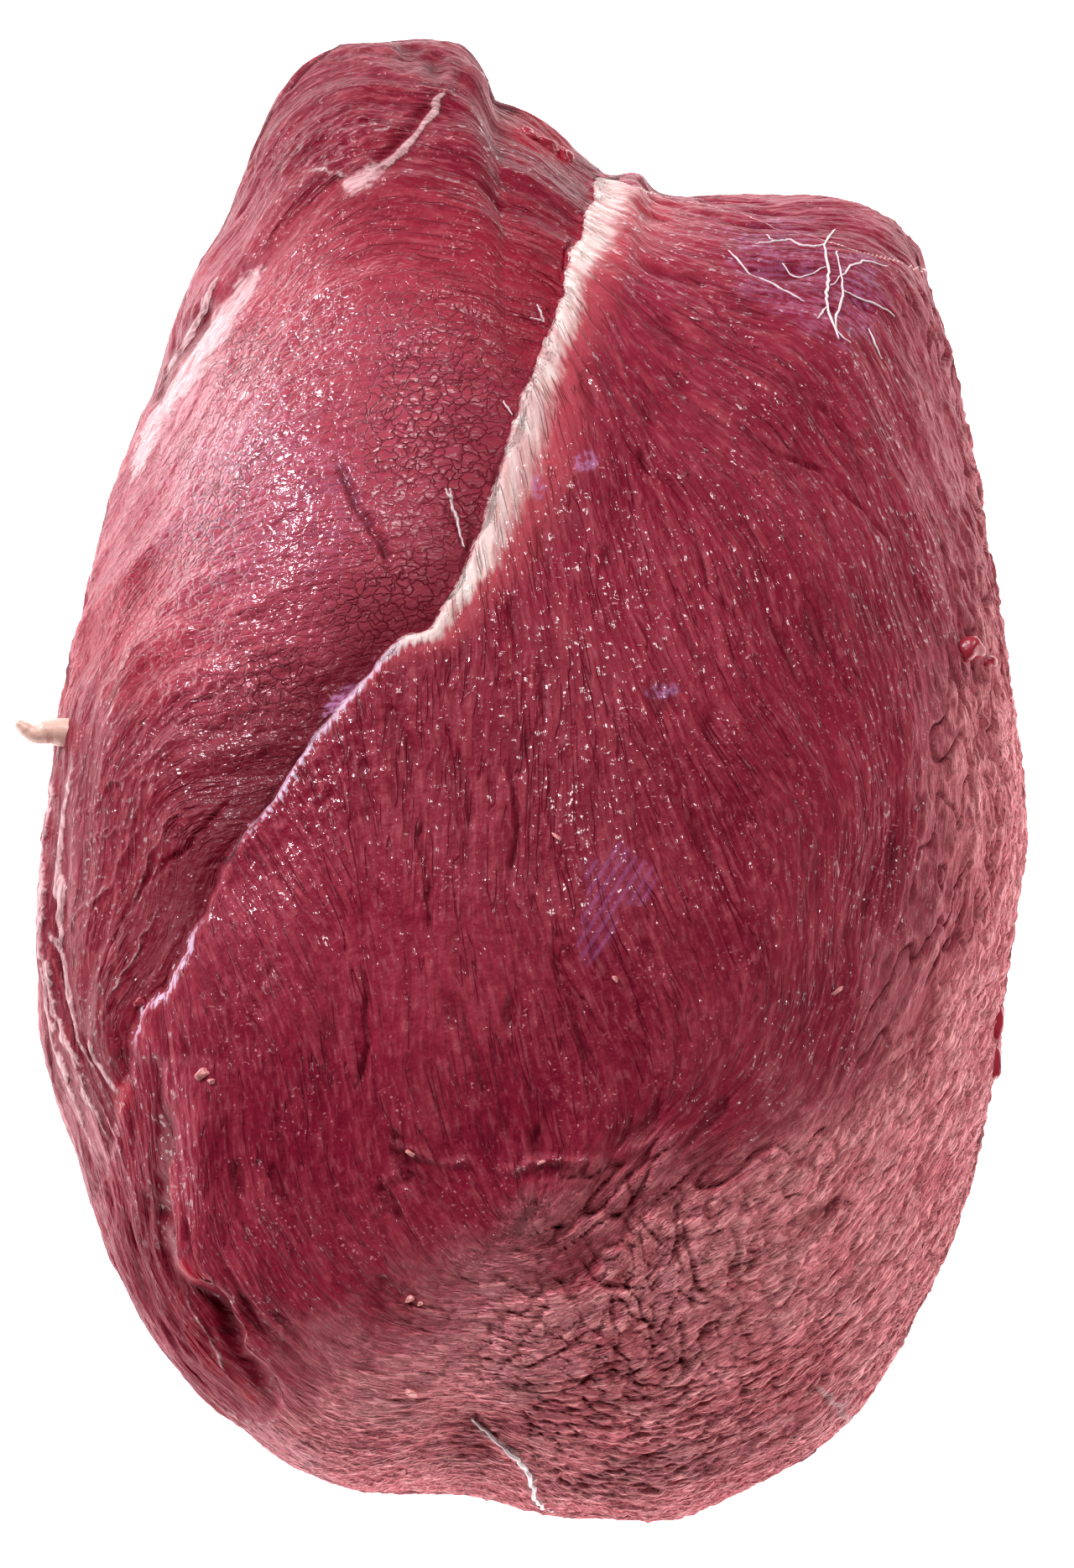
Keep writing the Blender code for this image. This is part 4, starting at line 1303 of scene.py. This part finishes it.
def add_floor():
    """Pale paper that glows round the piece, as if lit from below."""
    bm = bmesh.new()
    bmesh.ops.create_grid(bm, x_segments=2, y_segments=2, size=3.0)
    mesh = bpy.data.meshes.new("floor")
    bm.to_mesh(mesh)
    bm.free()
    floor = add_object("floor", mesh)
    floor.location.z = -0.0002
    n = Nodes("floor_paper")
    n.shader.inputs["Base Color"].default_value = (0.86, 0.86, 0.86, 1)
    n.shader.inputs["Roughness"].default_value = 0.9
    n.shader.inputs["Emission Color"].default_value = (1, 1, 1, 1)
    away = n.add("ShaderNodeVectorMath", operation="LENGTH")
    n.link(n.add("ShaderNodeTexCoord").outputs["Object"], away.inputs[0])
    n.link(n.span(away.outputs["Value"], 0.18, 0.8, 2.5, 0.4), n.shader.inputs["Emission Strength"])
    mesh.materials.append(n.material)


def add_world():
    world = bpy.data.worlds.new("studio")
    world.use_nodes = True
    tree = world.node_tree
    back = tree.nodes["Background"]
    where = tree.nodes.new("ShaderNodeTexCoord")
    parts = tree.nodes.new("ShaderNodeSeparateXYZ")
    fall = tree.nodes.new("ShaderNodeMapRange")
    fall.interpolation_type = "SMOOTHSTEP"
    fall.inputs["From Min"].default_value = 0.10
    fall.inputs["From Max"].default_value = 0.55
    fall.inputs["To Min"].default_value = 0.5
    fall.inputs["To Max"].default_value = 0.12
    tree.links.new(where.outputs["Generated"], parts.inputs[0])
    tree.links.new(parts.outputs["Z"], fall.inputs["Value"])
    tree.links.new(fall.outputs["Result"], back.inputs["Strength"])
    bpy.context.scene.world = world


add_camera()
add_world()
add_floor()
add_softbox("back_left", (-0.80, 0.60, 0.73), 0.22, 16.0, colour=(0.96, 0.92, 1.0))
add_softbox("overhead", (0.20, 0.42, 1.12), 0.34, 7.8)
add_softbox("front", (1.05, -0.35, 0.22), 0.35, 3.5)
bpy.context.scene.view_settings.view_transform = "Standard"
bpy.context.scene.view_settings.look = "None"

knuckle, places, points = build_knuckle(Meat().material)
skin = Skin(places, points)
sinew = plain_material("sinew", linear(246, 228, 230), 0.35)
fat = plain_material("raw_fat", linear(228, 146, 142), 0.3)
scrap = plain_material("torn_flesh", linear(168, 46, 62), 0.3)
pieces = [
    knuckle,
    build_threads(skin, sinew),
    build_tag(plain_material("tag_fat", linear(238, 196, 178), 0.35)),
    build_lumps("fat_beads", skin, FAT_LUMPS, fat, 0.7),
    build_lumps("flesh_scraps", skin, FLESH_LUMPS, scrap),
]
for piece in pieces:
    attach(piece, "root")
    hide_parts("knuckle")
